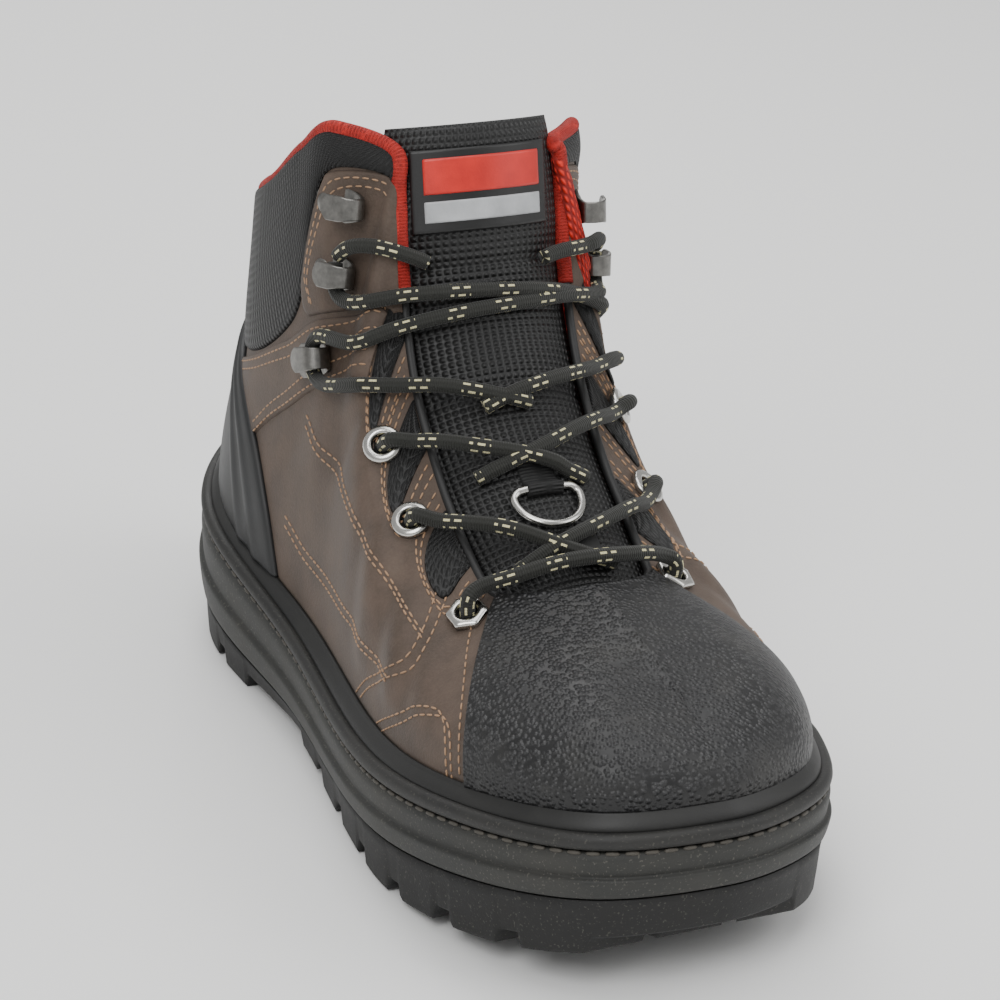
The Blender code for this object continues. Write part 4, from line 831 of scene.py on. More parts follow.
def tube(name, route, radius, materials, sides=12, loop=False, flat=1.0):
    """Round tube: place + radius (cos a * aside + sin a * above), its frame carried without
    twist along the route; UV is length along and angle share, in metres and turns."""
    route = np.asarray(route, float)
    run = unit(np.roll(route, -1, 0) - np.roll(route, 1, 0)) if loop else unit(np.gradient(route, axis=0))
    aside = np.cross(run[0], [0.0, 0.0, 1.0])
    aside = unit(aside if np.linalg.norm(aside) > 0.1 else np.cross(run[0], [1.0, 0.0, 0.0]))
    asides = []
    for way in run:
        aside = unit(aside - way * aside.dot(way))
        asides.append(aside)
    asides = np.array(asides)
    above = np.cross(run, asides)
    angles = np.linspace(0, 2 * np.pi, sides + 1)
    grid = (route[:, None] + radius * np.cos(angles)[None, :, None] * asides[:, None]
            + radius * flat * np.sin(angles)[None, :, None] * above[:, None])
    length = np.concatenate([[0], np.cumsum(np.linalg.norm(np.diff(route, axis=0), axis=1))])
    uv = np.stack(np.meshgrid(length, angles / (2 * np.pi), indexing="ij"), -1)
    if loop:
        grid = np.concatenate([grid, grid[:1]])
        uv = np.concatenate([uv, uv[:1]])
        index = np.arange(grid.shape[0] * (sides + 1)).reshape(-1, sides + 1)
        return piece(name, grid.reshape(-1, 3), lattice(index), materials, uv.reshape(-1, 2))
    ends = [np.repeat(route[[0]] , sides + 1, 0)[None], np.repeat(route[[-1]], sides + 1, 0)[None]]
    grid = np.concatenate([ends[0], grid, ends[1]])
    uv = np.concatenate([uv[:1], uv, uv[-1:]])
    index = np.arange(grid.shape[0] * (sides + 1)).reshape(-1, sides + 1)
    return piece(name, grid.reshape(-1, 3), lattice(index), materials, uv.reshape(-1, 2))


def along_line(rows):
    """Even places along a line of (turn, rise) rows on one side of the upper."""
    rows = np.array(rows, float)
    pace = np.concatenate([[0], np.cumsum(np.hypot(*(np.diff(rows, axis=0) * [TURN_TO_RISE, 1.0]).T))])
    table = np.concatenate([pace[:, None], rows], 1)
    at = np.linspace(0, pace[-1], LINE_PLACES)
    return np.stack([calm_curve(table, 1, at), calm_curve(table, 2, at)], -1)


def relief(side, turn, rise):
    """Soft troughs and ridges laid in shares of the boot: the vamp's flex creases,
    the ankle's, and the slack of the quarter."""
    turn, rise = np.broadcast_arrays(np.asarray(turn, float), np.asarray(rise, float))
    high = np.zeros(turn.shape)
    for which, at, lean, low, top, wide, depth in CREASES:
        if which in (0, side):
            across = (turn - at - lean * (rise - 0.5)) / wide
            within = np.clip((rise - low) / 0.10, 0, 1) * np.clip((top - rise) / 0.10, 0, 1)
            within = within * within * (3 - 2 * within)
            high = high + depth * MM * np.exp(-across ** 2) * within
    return high * bpy.context.scene.boot_sizes.crease_share


def on_upper(side, turn, rise, lift=0.0):
    """Place on the dressed upper: face + normal * (relief + lift)."""
    high = relief(side, turn, rise) + lift
    return upper_face(side, turn, rise) + upper_normal(side, turn, rise) * high[..., None]


def patch(name, side, low, high, lift, thick, materials, bulge=0.0, count=(130, 50), roll=1.6,
          open_start=False):
    """Panel between two lines of (turn, rise) rows: height = lift + thick * rolled edge +
    bulge * sin(pi s) * sin(pi t), its back sunk into what carries it."""
    s = np.linspace(0, 1, count[0])
    t = np.linspace(0, 1, count[1])
    lines = []
    for rows in (low, high):
        line = along_line(rows)
        at = np.linspace(0, 1, len(line))
        lines.append(np.stack([np.interp(s, at, line[:, 0]), np.interp(s, at, line[:, 1])], -1))
    flat = lines[0][:, None] * (1 - t)[None, :, None] + lines[1][:, None] * t[None, :, None]
    base = on_upper(side, flat[..., 0], flat[..., 1])
    normal = upper_normal(side, flat[..., 0], flat[..., 1])
    wide = np.linalg.norm(np.diff(base, axis=0), axis=-1).sum(0).mean()
    tall = np.maximum(np.linalg.norm(np.diff(base, axis=1), axis=-1).sum(1), 1e-4)
    near_end = 1 - s if open_start else np.minimum(s, 1 - s)
    far_s = near_end[:, None] * wide + 0 * t[None]
    far_t = np.minimum(t, 1 - t)[None] * tall[:, None]
    edge = np.clip(np.minimum(far_s, far_t) / (roll * MM), 0, 1)
    edge = np.sqrt(np.clip(1 - (1 - edge) ** 2, 0, 1))
    along = 0.5 + s / 2 if open_start else s
    pad = np.clip(np.sin(np.pi * along), 0, 1)[:, None] ** 0.5 * np.clip(np.sin(np.pi * t), 0, 1)[None] ** 0.6
    outer = base + normal * (lift + thick * edge + bulge * pad)[..., None]
    inner = base + normal * (lift - 0.5 * MM)
    return shell(name, outer, inner, materials)


def stitch_rows(name, lines, material):
    """Rows of thread: each stitch is a small lens, half sunk, along its line. A line is
    (side, rows, lift in mm); its stitches are pitch apart."""
    sizes = bpy.context.scene.boot_sizes
    pitch, wide = sizes.stitch_pitch / MM, sizes.stitch_width / MM
    length = pitch * 0.78
    places, ways, outs = [], [], []
    for side, rows, height in lines:
        flat = along_line(rows)
        points = on_upper(side, flat[:, 0], flat[:, 1], height * MM)
        run = np.concatenate([[0], np.cumsum(np.linalg.norm(np.diff(points, axis=0), axis=1))])
        at = np.arange(pitch * MM * 0.5, run[-1], pitch * MM)
        spot = np.stack([np.interp(at, run, points[:, c]) for c in range(3)], -1)
        near = np.stack([np.interp(at + 0.3 * MM, run, points[:, c]) for c in range(3)], -1)
        param = np.stack([np.interp(at, run, flat[:, c]) for c in range(2)], -1)
        places.append(spot)
        ways.append(unit(near - spot + 1e-9))
        outs.append(upper_normal(side, param[:, 0], param[:, 1]))
    return lenses(name, np.concatenate(places), np.concatenate(ways), np.concatenate(outs), material, length, wide)


def lenses(name, places, ways, outs, material, length, wide):
    """Many small threads: place + half length * cos v * way + radius * sin v * (cos a * aside
    + sin a * out)."""
    v = np.linspace(0, np.pi, 5)
    a = np.linspace(0, 2 * np.pi, 7)
    asides = unit(np.cross(outs, ways))
    outs = np.cross(ways, asides)
    body = places[:, None, None] - ways[:, None, None] * (np.cos(v)[None, :, None, None] * length * MM / 2)
    ring = (np.cos(a)[None, None, :, None] * asides[:, None, None]
            + np.sin(a)[None, None, :, None] * outs[:, None, None])
    body = body + ring * (np.sin(v) ** 0.6)[None, :, None, None] * wide * MM / 2
    count = len(places)
    index = np.arange(len(v) * len(a)).reshape(len(v), len(a))
    faces = (lattice(index)[None] + (np.arange(count) * len(v) * len(a))[:, None, None]).reshape(-1, 4)
    return piece(name, body.reshape(-1, 3), faces, material)


# Materials


DARK = (0.0, 0.0, 0.0, 1.0)
PALE = (1.0, 1.0, 1.0, 1.0)
RGBA = {"data_type": "RGBA"}
TIMES = {"operation": "MULTIPLY"}
# Period of a sine wave texture of scale 1, in its own units
WAVE_PERIOD = 0.3142


def colour(code):
    """Linear colour and alpha of an sRGB hex code, or of a named colour setting."""
    if not code.startswith("#"):
        return (*getattr(bpy.context.scene.boot_colours, code), 1.0)
    part = np.array([int(code[i:i + 2], 16) for i in (1, 3, 5)]) / 255
    part = np.where(part <= 0.04045, part / 12.92, ((part + 0.055) / 1.055) ** 2.4)
    return (*[float(p) for p in part], 1.0)


def feed(tree, node, inputs):
    """Sets a node's inputs, or links them where a socket is given."""
    for key, value in inputs.items():
        if isinstance(value, bpy.types.NodeSocket):
            tree.links.new(value, node.inputs[key])
        else:
            node.inputs[key].default_value = value


def add(tree, kind, output, inputs, stops=(), **settings):
    """Adds one node with its settings, its inputs (values or sockets) and, for a ramp, its
    two (place, colour) stops. Gives the socket of its output."""
    node = tree.nodes.new("ShaderNode" + kind)
    for key, value in settings.items():
        setattr(node, key, value)
    feed(tree, node, inputs)
    for k, (place, shade) in enumerate(stops):
        node.color_ramp.elements[k].position = place
        node.color_ramp.elements[k].color = shade
    return node.outputs[output]


def own_place(tree):
    """The object's own coordinates in millimetres."""
    return add(tree, "Mapping", "Vector", {"Vector": add(tree, "TexCoord", "Object", {}), "Scale": (1000.0,) * 3})


def made(name, build):
    """New material: build takes its node tree and gives the inputs of its Principled shader."""
    material = bpy.data.materials.new(name)
    material.use_nodes = True
    tree = material.node_tree
    feed(tree, tree.nodes["Principled BSDF"], build(tree))
    return material


def nubuck(name, light, dark, dust="#7b6e63"):
    """Nubuck and coated leather: fine short nap, cloudy where it was rubbed, pale dust."""
    def build(tree):
        where = own_place(tree)
        cloud = add(tree, "TexNoise", "Fac", {"Vector": where, "Scale": 1 / 14.0, "Detail": 5.0, "Roughness": 0.6})
        grain = add(tree, "TexNoise", "Fac", {"Vector": where, "Scale": 1 / 0.9, "Detail": 3.0, "Roughness": 0.65})
        nap = add(tree, "TexNoise", "Fac", {"Vector": where, "Scale": 1 / 0.35, "Detail": 2.0, "Roughness": 0.5})
        shade = add(tree, "ValToRGB", "Color", {"Fac": cloud}, [(0.30, colour(dark)), (0.72, colour(light))])
        speck = add(tree, "ValToRGB", "Color", {"Fac": grain}, [(0.40, DARK), (0.80, PALE)])
        speck = add(tree, "Math", 0, {0: speck, 1: 0.14}, **TIMES)
        low = add(tree, "Bump", "Normal", {"Height": grain, "Distance": 0.16 * MM})
        return {"Base Color": add(tree, "Mix", 2, {0: speck, 6: shade, 7: colour(dust)}, **RGBA),
                "Roughness": add(tree, "MapRange", 0, {"Value": cloud, "To Min": 0.5, "To Max": 0.72}),
                "Specular IOR Level": 0.3, "Sheen Weight": 0.05, "Sheen Roughness": 0.5,
                "Normal": add(tree, "Bump", "Normal", {"Height": nap, "Distance": 0.07 * MM, "Normal": low})}
    return made(name, build)


def rubber(name, base, dusty, gloss, grain=0.5, depth=0.05, dust_share=0.55, speckle=0.0):
    """Moulded rubber: satin, faintly orange-peeled, with dry dust in the low places."""
    def build(tree):
        where = own_place(tree)
        cloud = add(tree, "TexNoise", "Fac", {"Vector": where, "Scale": 1 / 22.0, "Detail": 6.0, "Roughness": 0.65})
        peel = add(tree, "TexNoise", "Fac", {"Vector": where, "Scale": 1 / grain, "Detail": 3.0, "Roughness": 0.6})
        veil = add(tree, "ValToRGB", "Color", {"Fac": cloud}, [(dust_share - 0.12, DARK), (dust_share + 0.22, PALE)])
        veil = add(tree, "Math", 0, {0: veil, 1: 0.75}, **TIMES)
        shade = add(tree, "Mix", 2, {0: veil, 6: colour(base), 7: colour(dusty)}, **RGBA)
        if speckle:
            dots = add(tree, "TexNoise", "Fac", {"Vector": where, "Scale": 1 / 0.8, "Detail": 2.0, "Roughness": 0.5})
            dots = add(tree, "ValToRGB", "Color", {"Fac": dots}, [(0.62, DARK), (0.70, PALE)])
            dots = add(tree, "Math", 0, {0: dots, 1: speckle}, **TIMES)
            shade = add(tree, "Mix", 2, {0: dots, 6: shade, 7: colour("#77746a")}, **RGBA)
        return {"Base Color": shade,
                "Roughness": add(tree, "MapRange", 0, {"Value": cloud, "To Min": gloss, "To Max": gloss + 0.28}),
                "Normal": add(tree, "Bump", "Normal", {"Height": peel, "Distance": depth * MM})}
    return made(name, build)


def granular(name, base, glint, size):
    """Rubberised toe fabric: close-set rubber grains about a millimetre wide."""
    def build(tree):
        where = own_place(tree)
        cells = add(tree, "TexVoronoi", "Distance", {"Vector": where, "Scale": 1 / size, "Randomness": 0.9})
        grain = add(tree, "ValToRGB", "Color", {"Fac": cells}, [(0.05, PALE), (0.62, DARK)])
        cloud = add(tree, "TexNoise", "Fac", {"Vector": where, "Scale": 1 / 16.0, "Detail": 5.0, "Roughness": 0.6})
        lit = add(tree, "Math", 0, {0: grain, 1: 0.45}, **TIMES)
        shade = add(tree, "Mix", 2, {0: lit, 6: colour(base), 7: colour(glint)}, **RGBA)
        veil = add(tree, "ValToRGB", "Color", {"Fac": cloud}, [(0.48, DARK), (0.78, PALE)])
        veil = add(tree, "Math", 0, {0: veil, 1: 0.45}, **TIMES)
        return {"Base Color": add(tree, "Mix", 2, {0: veil, 6: shade, 7: colour("#3a3936")}, **RGBA),
                "Roughness": 0.46,
                "Normal": add(tree, "Bump", "Normal", {"Height": grain, "Distance": 0.55 * MM})}
    return made(name, build)


def weave(name, warp, gap, thread, depth, gloss, stretch=(1.0, 1.0, 1.0)):
    """Woven mesh: threads over and under at thread millimetres, with open corners; the gap colour where the threads
    dip is painted shade between and under the threads.
    """
    def build(tree):
        cloth = add(tree, "UVMap", "UV", {}, uv_map="cloth")
        cloth = add(tree, "Mapping", "Vector", {"Vector": cloth, "Scale": tuple(1000.0 * s for s in stretch)})
        bands = [add(tree, "TexWave", "Fac", {"Vector": cloth, "Scale": WAVE_PERIOD / thread, "Distortion": 0.0},
                     bands_direction=way, wave_profile="SIN") for way in "XY"]
        height = add(tree, "Math", 0, {0: bands[0], 1: bands[1]}, **TIMES)
        # Painted shade: the weave's low places and open corners take the dark gap colour, by the same height as the
        # bump.
        shade = add(tree, "ValToRGB", "Color", {"Fac": height}, [(0.05, colour(gap)), (0.55, colour(warp))])
        blot = {"Vector": own_place(tree), "Scale": 1 / 18.0, "Detail": 4.0, "Roughness": 0.6}
        cloud = add(tree, "TexNoise", "Fac", blot)
        veil = add(tree, "ValToRGB", "Color", {"Fac": cloud}, [(0.45, DARK), (0.85, PALE)])
        veil = add(tree, "Math", 0, {0: veil, 1: 0.25}, **TIMES)
        return {"Base Color": add(tree, "Mix", 2, {0: veil, 6: shade, 7: colour(warp)}, **RGBA),
                "Roughness": gloss,
                "Normal": add(tree, "Bump", "Normal", {"Height": height, "Distance": depth * MM})}
    return made(name, build)


def steel(name, base, gloss, worn_tone):
    """Nickel-plated steel: bright, with a soft haze from handling."""
    def build(tree):
        where = own_place(tree)
        haze = add(tree, "TexNoise", "Fac", {"Vector": where, "Scale": 1 / 2.2, "Detail": 4.0, "Roughness": 0.6})
        tones = [(0.35, colour(base)), (0.85, colour(worn_tone))]
        return {"Metallic": 1.0, "Base Color": add(tree, "ValToRGB", "Color", {"Fac": haze}, tones),
                "Roughness": add(tree, "MapRange", 0, {"Value": haze, "To Min": gloss, "To Max": gloss + 0.12}),
                "Normal": add(tree, "Bump", "Normal", {"Height": haze, "Distance": 0.03 * MM})}
    return made(name, build)


def lace_braid(name, base, dash):
    """Round braid, near black, with groups of short cream dashes that run round in steps:
    lane k's dashes are 0.85 k millimetres further along. Its ribs are sin(a + b) sin(a - b)."""
    def build(tree):
        metres = add(tree, "SeparateXYZ", 0, {"Vector": add(tree, "UVMap", "UV", {}, uv_map="cloth")})
        along = add(tree, "Math", 0, {0: metres, 1: 1000.0}, **TIMES)
        turns = metres.node.outputs[1]
        lane = add(tree, "Math", 0, {0: turns, 1: 12.0}, **TIMES)
        step = add(tree, "Math", 0, {0: add(tree, "Math", 0, {0: lane}, operation="FLOOR"), 1: 0.85}, **TIMES)
        shifted = add(tree, "Math", 0, {0: along, 1: step}, operation="ADD")
        mark = 1.0
        for value, period, share in ((shifted, 3.4, 0.62), (along, 15.0, 0.40), (lane, 2.0, 0.3)):
            part = add(tree, "Math", 0, {0: value, 1: period}, operation="DIVIDE")
            part = add(tree, "Math", 0, {0: part}, operation="FRACT")
            part = add(tree, "Math", 0, {0: part, 1: share}, operation="LESS_THAN")
            mark = add(tree, "Math", 0, {0: mark, 1: part}, **TIMES)
        run = add(tree, "Math", 0, {0: along, 1: 4.2}, **TIMES)
        lean = add(tree, "Math", 0, {0: turns, 1: 25.13}, **TIMES)
        ribs = [add(tree, "Math", 0, {0: run, 1: lean}, operation=way) for way in ("ADD", "SUBTRACT")]
        ribs = [add(tree, "Math", 0, {0: rib}, operation="SINE") for rib in ribs]
        height = add(tree, "Math", 0, {0: ribs[0], 1: ribs[1]}, **TIMES)
        return {"Base Color": add(tree, "Mix", 2, {0: mark, 6: colour(base), 7: colour(dash)}, **RGBA),
                "Roughness": 0.8, "Sheen Weight": 0.1,
                "Normal": add(tree, "Bump", "Normal", {"Height": height, "Distance": 0.16 * MM})}
    return made(name, build)


def plain(name, base, gloss, size=0.6):
    """Moulded or spun trim of one colour, with the faint grain of its making."""
    def build(tree):
        where = own_place(tree)
        fine = add(tree, "TexNoise", "Fac", {"Vector": where, "Scale": 1 / size, "Detail": 3.0, "Roughness": 0.6})
        cloud = add(tree, "TexNoise", "Fac", {"Vector": where, "Scale": 1 / 9.0, "Detail": 4.0, "Roughness": 0.6})
        low = tuple(0.72 * c for c in colour(base)[:3]) + (1.0,)
        return {"Base Color": add(tree, "ValToRGB", "Color", {"Fac": cloud}, [(0.3, low), (0.7, colour(base))]),
                "Roughness": gloss,
                "Normal": add(tree, "Bump", "Normal", {"Height": fine, "Distance": 0.05 * MM})}
    return made(name, build)


def painted(name, base, gloss):
    """Even matt paint: one colour, no grain."""
    return made(name, lambda tree: {"Base Color": colour(base), "Roughness": gloss})


# Each finish: its kind, the real material's name, then what the kind asks for
FINISHES = {
    "leather": (nubuck, "nubuck leather", "leather_light", "leather_dark"),
    "panel": (nubuck, "nubuck overlay", "leather_light", "leather_dark"),
    "toe": (granular, "rubberised toe fabric", "#111112", "#38383a", 1.5),
    "rand": (rubber, "rand rubber", "#161615", "#232321", 0.42, 0.7, 0.05),
    "welt": (rubber, "welt rubber", "#171716", "#2a2926", 0.48, 0.8, 0.06, 0.5, 0.2),
    "midsole": (rubber, "midsole rubber", "rubber", "#353430", 0.5, 0.9, 0.09, 0.5, 0.3),
    "outsole": (rubber, "outsole rubber", "#0d0d0d", "#1c1b19", 0.55, 0.7, 0.08, 0.56, 0.2),
    "counter": (rubber, "counter rubber", "#1c1d1e", "#282827", 0.4, 0.6, 0.05, 0.6),
    # In each weave the second colour, laid in its low places, is painted shade between and under the threads.
    "collar": (weave, "collar mesh", "mesh", "#030303", 1.9, 0.9, 0.55),
    "tongue": (weave, "ballistic tongue cloth", "mesh", "#030303", 2.2, 0.9, 0.5),
    "lining": (weave, "red lining mesh", "lining", "#7a0f09", 1.9, 0.6, 0.7),
    "binding": (weave, "red binding", "#ec3325", "#a31a10", 1.0, 0.3, 0.7, (1.0, 9.0, 1.0)),
    "tab": (weave, "ribbed webbing", "#1f1f1f", "#090909", 1.1, 0.4, 0.75, (1.0, 0.15, 1.0)),
    "insole": (weave, "insole cloth", "#3a3a3a", "#161616", 1.2, 0.2, 0.9),
    "piping": (plain, "black piping", "#1b1b1b", 0.55),
    "thread": (plain, "tan thread", "thread", 0.6, 0.3),
    "dark_thread": (plain, "dark thread", "#4a463f", 0.6, 0.3),
    # Painted shade for the inside of the eyelets' bores.
    "black": (plain, "shadowed bore", "#070707", 0.9),
    "frame": (plain, "badge rubber", "#171717", 0.42),
    "red": (plain, "badge red", "#d22a22", 0.35),
    "silver": (plain, "badge silver", "#b4b6b8", 0.3),
    "hook": (steel, "aged nickel", "#6f6e6b", 0.26, "#8f8d89"),
    "bright": (steel, "bright nickel", "#b9b8b4", 0.16, "#d6d4cf"),
    "lace": (lace_braid, "braided lace", "lace", "lace_dash"),
    "floor": (painted, "pale floor", "#f4f4f3", 0.75),
}


def finish(key):
    """Material of a finish, made once and then shared."""
    kind, name, *facts = FINISHES[key]
    return bpy.data.materials.get(name) or kind(name, *facts)


# The pieces


def dress_outsole():
    """Lugged outsole: rows of stations by places across; height = tread + lug depth * (1 - lug)."""
    rows = station(np.linspace(0, 1, 420)) * SOLE_LENGTH
    rows = np.unique(np.concatenate([rows, [0.0, SOLE_LENGTH]]))
    step = 0.45 * MM
    lug_along = np.zeros(len(rows))
    for start, end, deep in LUG_ROWS:
        rise = (np.clip((rows - start * ALONG) / step / 2 + 0.5, 0, 1)
                * np.clip((end * ALONG - rows) / step / 2 + 0.5, 0, 1))
        lug_along = np.maximum(lug_along, rise * deep)
    shares = np.linspace(-1, 1, 121)
    lug_across = np.zeros(len(shares))
    for (a, on), (b, _) in zip(LUG_COLUMNS[:-1], LUG_COLUMNS[1:]):
        if on:
            soft = 0.012
            rise = np.clip((shares - a) / soft + 0.5, 0, 1) * np.clip((b - shares) / soft + 0.5, 0, 1)
            rise = np.where((a <= -0.999) & (shares < -0.5), 1.0, rise)
            rise = np.where((b >= 0.999) & (shares > 0.7), 1.0, rise)
            lug_across = np.maximum(lug_across, rise)
    lug = lug_along[:, None] * lug_across[None, :]
    turns = turn_at(rows)
    mix = (shares + 1) / 2
    left_low, right_low = edge_loop(-1, turns, 3.0 * MM), edge_loop(1, turns, 3.0 * MM)
    left_low[[0, -1], 0] = 0.0
    right_low[[0, -1], 0] = 0.0
    flat = left_low[:, None] * (1 - mix)[None, :, None] + right_low[:, None] * mix[None, :, None]
    high = tread_height(rows)[:, None] + LUG_DEPTH * (1 - lug)
    bottom = np.concatenate([flat, high[..., None]], -1)
    sides = []
    for inset, share in ((2.6, 0.06), (2.2, 0.35), (1.7, 0.8), (1.2, 1.0), (1.5, 1.0)):
        pair = []
        for k, side in enumerate((-1, 1)):
            edge = edge_loop(side, turns, inset * MM)
            edge[[0, -1], 0] = 0.0
            top = sole_height(3, edge[:, 1]) - GAP
            floor = high[:, 0 if k == 0 else -1]
            pair.append(np.concatenate([edge, (floor + (top - floor) * share)[:, None]], -1))
        sides.append(pair)
    left = np.stack([s[0] for s in sides[::-1]], 1)
    right = np.stack([s[1] for s in sides], 1)
    inner = (left[:, :1] * 0.5 + right[:, -1:] * 0.5)
    inner[..., 2] = (left[:, :1, 2] + right[:, -1:, 2]) / 2
    grid = np.concatenate([inner, left, bottom, right, inner], 1)
    index = np.arange(grid.shape[0] * grid.shape[1]).reshape(grid.shape[:2])
    shape = piece("outsole_rubber", grid.reshape(-1, 3), lattice(index), finish("outsole"), arc_uv(grid))
    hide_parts("outsole")
    return shape


def sole_ring(side, turns, inset, share, lift=0.0):
    """Line round the sole at an inset, share of the way from the parting line to the rim."""
    flat = edge_loop(side, turns, inset * MM)
    low, top = sole_height(3, flat[:, 1]), sole_height(2, flat[:, 1])
    return np.concatenate([flat, (low + (top - low) * share + lift * MM)[:, None]], -1)


def dress_midsole():
    """Flared sidewall in two tiers, its profile swept round the sole."""
    profile = [(6.0, 0.0), (2.3, 0.0), (1.2, 0.015), (0.55, 0.05), (0.2, 0.12), (-0.1, 0.2), (-0.35, 0.28),
               (-0.55, 0.36),
               (-0.6, 0.40), (-0.45, 0.43), (0.1, 0.455), (0.75, 0.475), (0.85, 0.50), (0.62, 0.54), (0.5, 0.60),
               (0.35, 0.68), (0.25, 0.76), (0.18, 0.84), (0.3, 0.89), (0.7, 0.935), (1.1, 0.97),
               (1.5, 1.0), (6.0, 1.0)]
    grid = np.stack([both_sides(240, lambda side, turns, i=inset, s=share: sole_ring(side, turns, i, s))
                     for inset, share in profile])
    shape = loop_ring("midsole_rubber", np.concatenate([grid, grid[:1]]), finish("midsole"))
    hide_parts("midsole")
    return shape


def dress_welt():
    """Round bead: inset and height run round an oval; the thread inside it is laid with the stitching."""
    angles = np.linspace(0, 2 * np.pi, 21)
    levels = []
    for angle in angles:
        inset = 2.4 - 2.45 * np.cos(angle)
        high = 2.55 + 2.5 * np.sin(angle)
        levels.append(both_sides(240, lambda side, turns, i=inset, h=high: sole_ring(side, turns, i, 1.0, h + 0.35)))
    shape = loop_ring("welt_bead", np.array(levels), finish("welt"))
    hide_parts("welt")
    return shape


def dress_rand():
    """Smooth band from the welt up to the upper: a bowed profile between foot and crest."""
    def levels(side, turns):
        _, top = feather(side, turns)
        away = np.concatenate([outward(side, turns), np.zeros((len(turns), 1))], -1)
        flat = edge_loop(side, turns, 3.6 * MM)
        foot = np.concatenate([flat, (sole_height(2, flat[:, 1]) + 4.4 * MM)[:, None]], -1)
        crest = top + away * 1.7 * MM
        rows = [foot - away * 3.0 * MM, foot]
        for t in np.linspace(0.08, 1, 12):
            rows.append(foot * (1 - t) + crest * t + away * (1.1 * MM * np.sin(np.pi * t ** 0.8)))
        lift = np.array([0.0, 0.0, MM])
        rows += [crest + lift * 0.5 - away * 0.3 * MM, crest + lift * 0.7 - away * 0.9 * MM,
                 crest + lift * 0.3 - away * 1.8 * MM,
                 crest - lift * 1.2 - away * 2.4 * MM]
        return np.array(rows)
    grid = both_sides(240, levels)
    shape = loop_ring("rand_band", np.concatenate([grid, grid[:1]]), finish("rand"))
    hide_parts("rand")
    return shape


def dress_upper():
    """Leather shell: face + normal * relief outside, face - normal * wall inside in red mesh."""
    turns = np.linspace(0, THROAT_END, 150)
    turns = np.concatenate([turns, np.linspace(THROAT_END, 1, 45)[1:]])
    rises = np.concatenate([[-1.0, -0.5], np.linspace(0, 1, 78)])
    run = np.concatenate([turns, turns[::-1]])
    outer, inner = [], []
    for side, part in ((-1, turns), (1, turns[::-1])):
        t, r = np.meshgrid(part, rises, indexing="ij")
        face = upper_face(side, t, r)
        normal = upper_normal(side, t, r)
        normal[:, 0] = np.concatenate([outward(side, part), np.zeros((len(part), 1))], -1)
        outer.append(face + normal * (relief(side, t, r) * (r > 0))[..., None])
        inner.append(face - normal * wall_depth(side, t, r)[..., None])
    outer, inner = np.concatenate(outer), np.concatenate(inner)
    rows, columns = outer.shape[:2]
    out = np.arange(rows * columns).reshape(rows, columns)
    ins = out + rows * columns
    sets = [lattice(out), lattice(ins)[:, ::-1], lattice(np.stack([out[:, 0], ins[:, 0]]))]
    top = lattice(np.stack([ins[:, -1], out[:, -1]]))
    sets.append(top[np.maximum(run[:-1], run[1:]) <= THROAT_END + 1e-9])
    slots = np.concatenate([np.full(len(s), 1 if k == 1 else 0) for k, s in enumerate(sets)])
    uv = np.concatenate([arc_uv(outer).reshape(-1, 2)] * 2)
    shape = piece("upper_shell", np.concatenate([outer.reshape(-1, 3), inner.reshape(-1, 3)]), np.concatenate(sets),
                  [finish("leather"), finish("lining")], uv, slots)
    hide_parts("upper")
    return shape


def dress_toe_cap():
    """Granular cap over the toe: face + normal * thickness, rolled down at its rear seam."""
    first = THROAT_END - 0.02
    rises = np.linspace(0.005, 1, 90)
    seam = calm_curve(CAP_SEAM, 1, rises)
    outer, inner = [], []
    shares = np.concatenate([np.linspace(0, 0.12, 8)[:-1], np.linspace(0.12, 1, 14)])
    columns = [(seam + (first - seam) * s, s) for s in shares]
    columns += [(t + 0 * rises, 1.0) for t in np.linspace(first, THROAT_END, 8)[1:]]
    columns += [(t + 0 * rises, 1.0) for t in np.linspace(THROAT_END, 1, 90)[1:]]
    stops = [(-1, c, s) for c, s in columns] + [(1, c, s) for c, s in columns[-2::-1]]
    for side, turns, share in stops:
        face = upper_face(side, turns, rises)
        normal = upper_normal(side, turns, rises)
        high = CAP_THICK * (0.25 + 0.75 * np.sqrt(1 - (1 - min(share / 0.12, 1)) ** 2)) + 1.5 * GAP
        outer.append(face + normal * high)
        inner.append(face - normal * 0.3 * MM)
    shape = shell("toe_cap_cover", np.array(outer), np.array(inner), finish("toe"))
    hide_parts("toe_cap")
    return shape


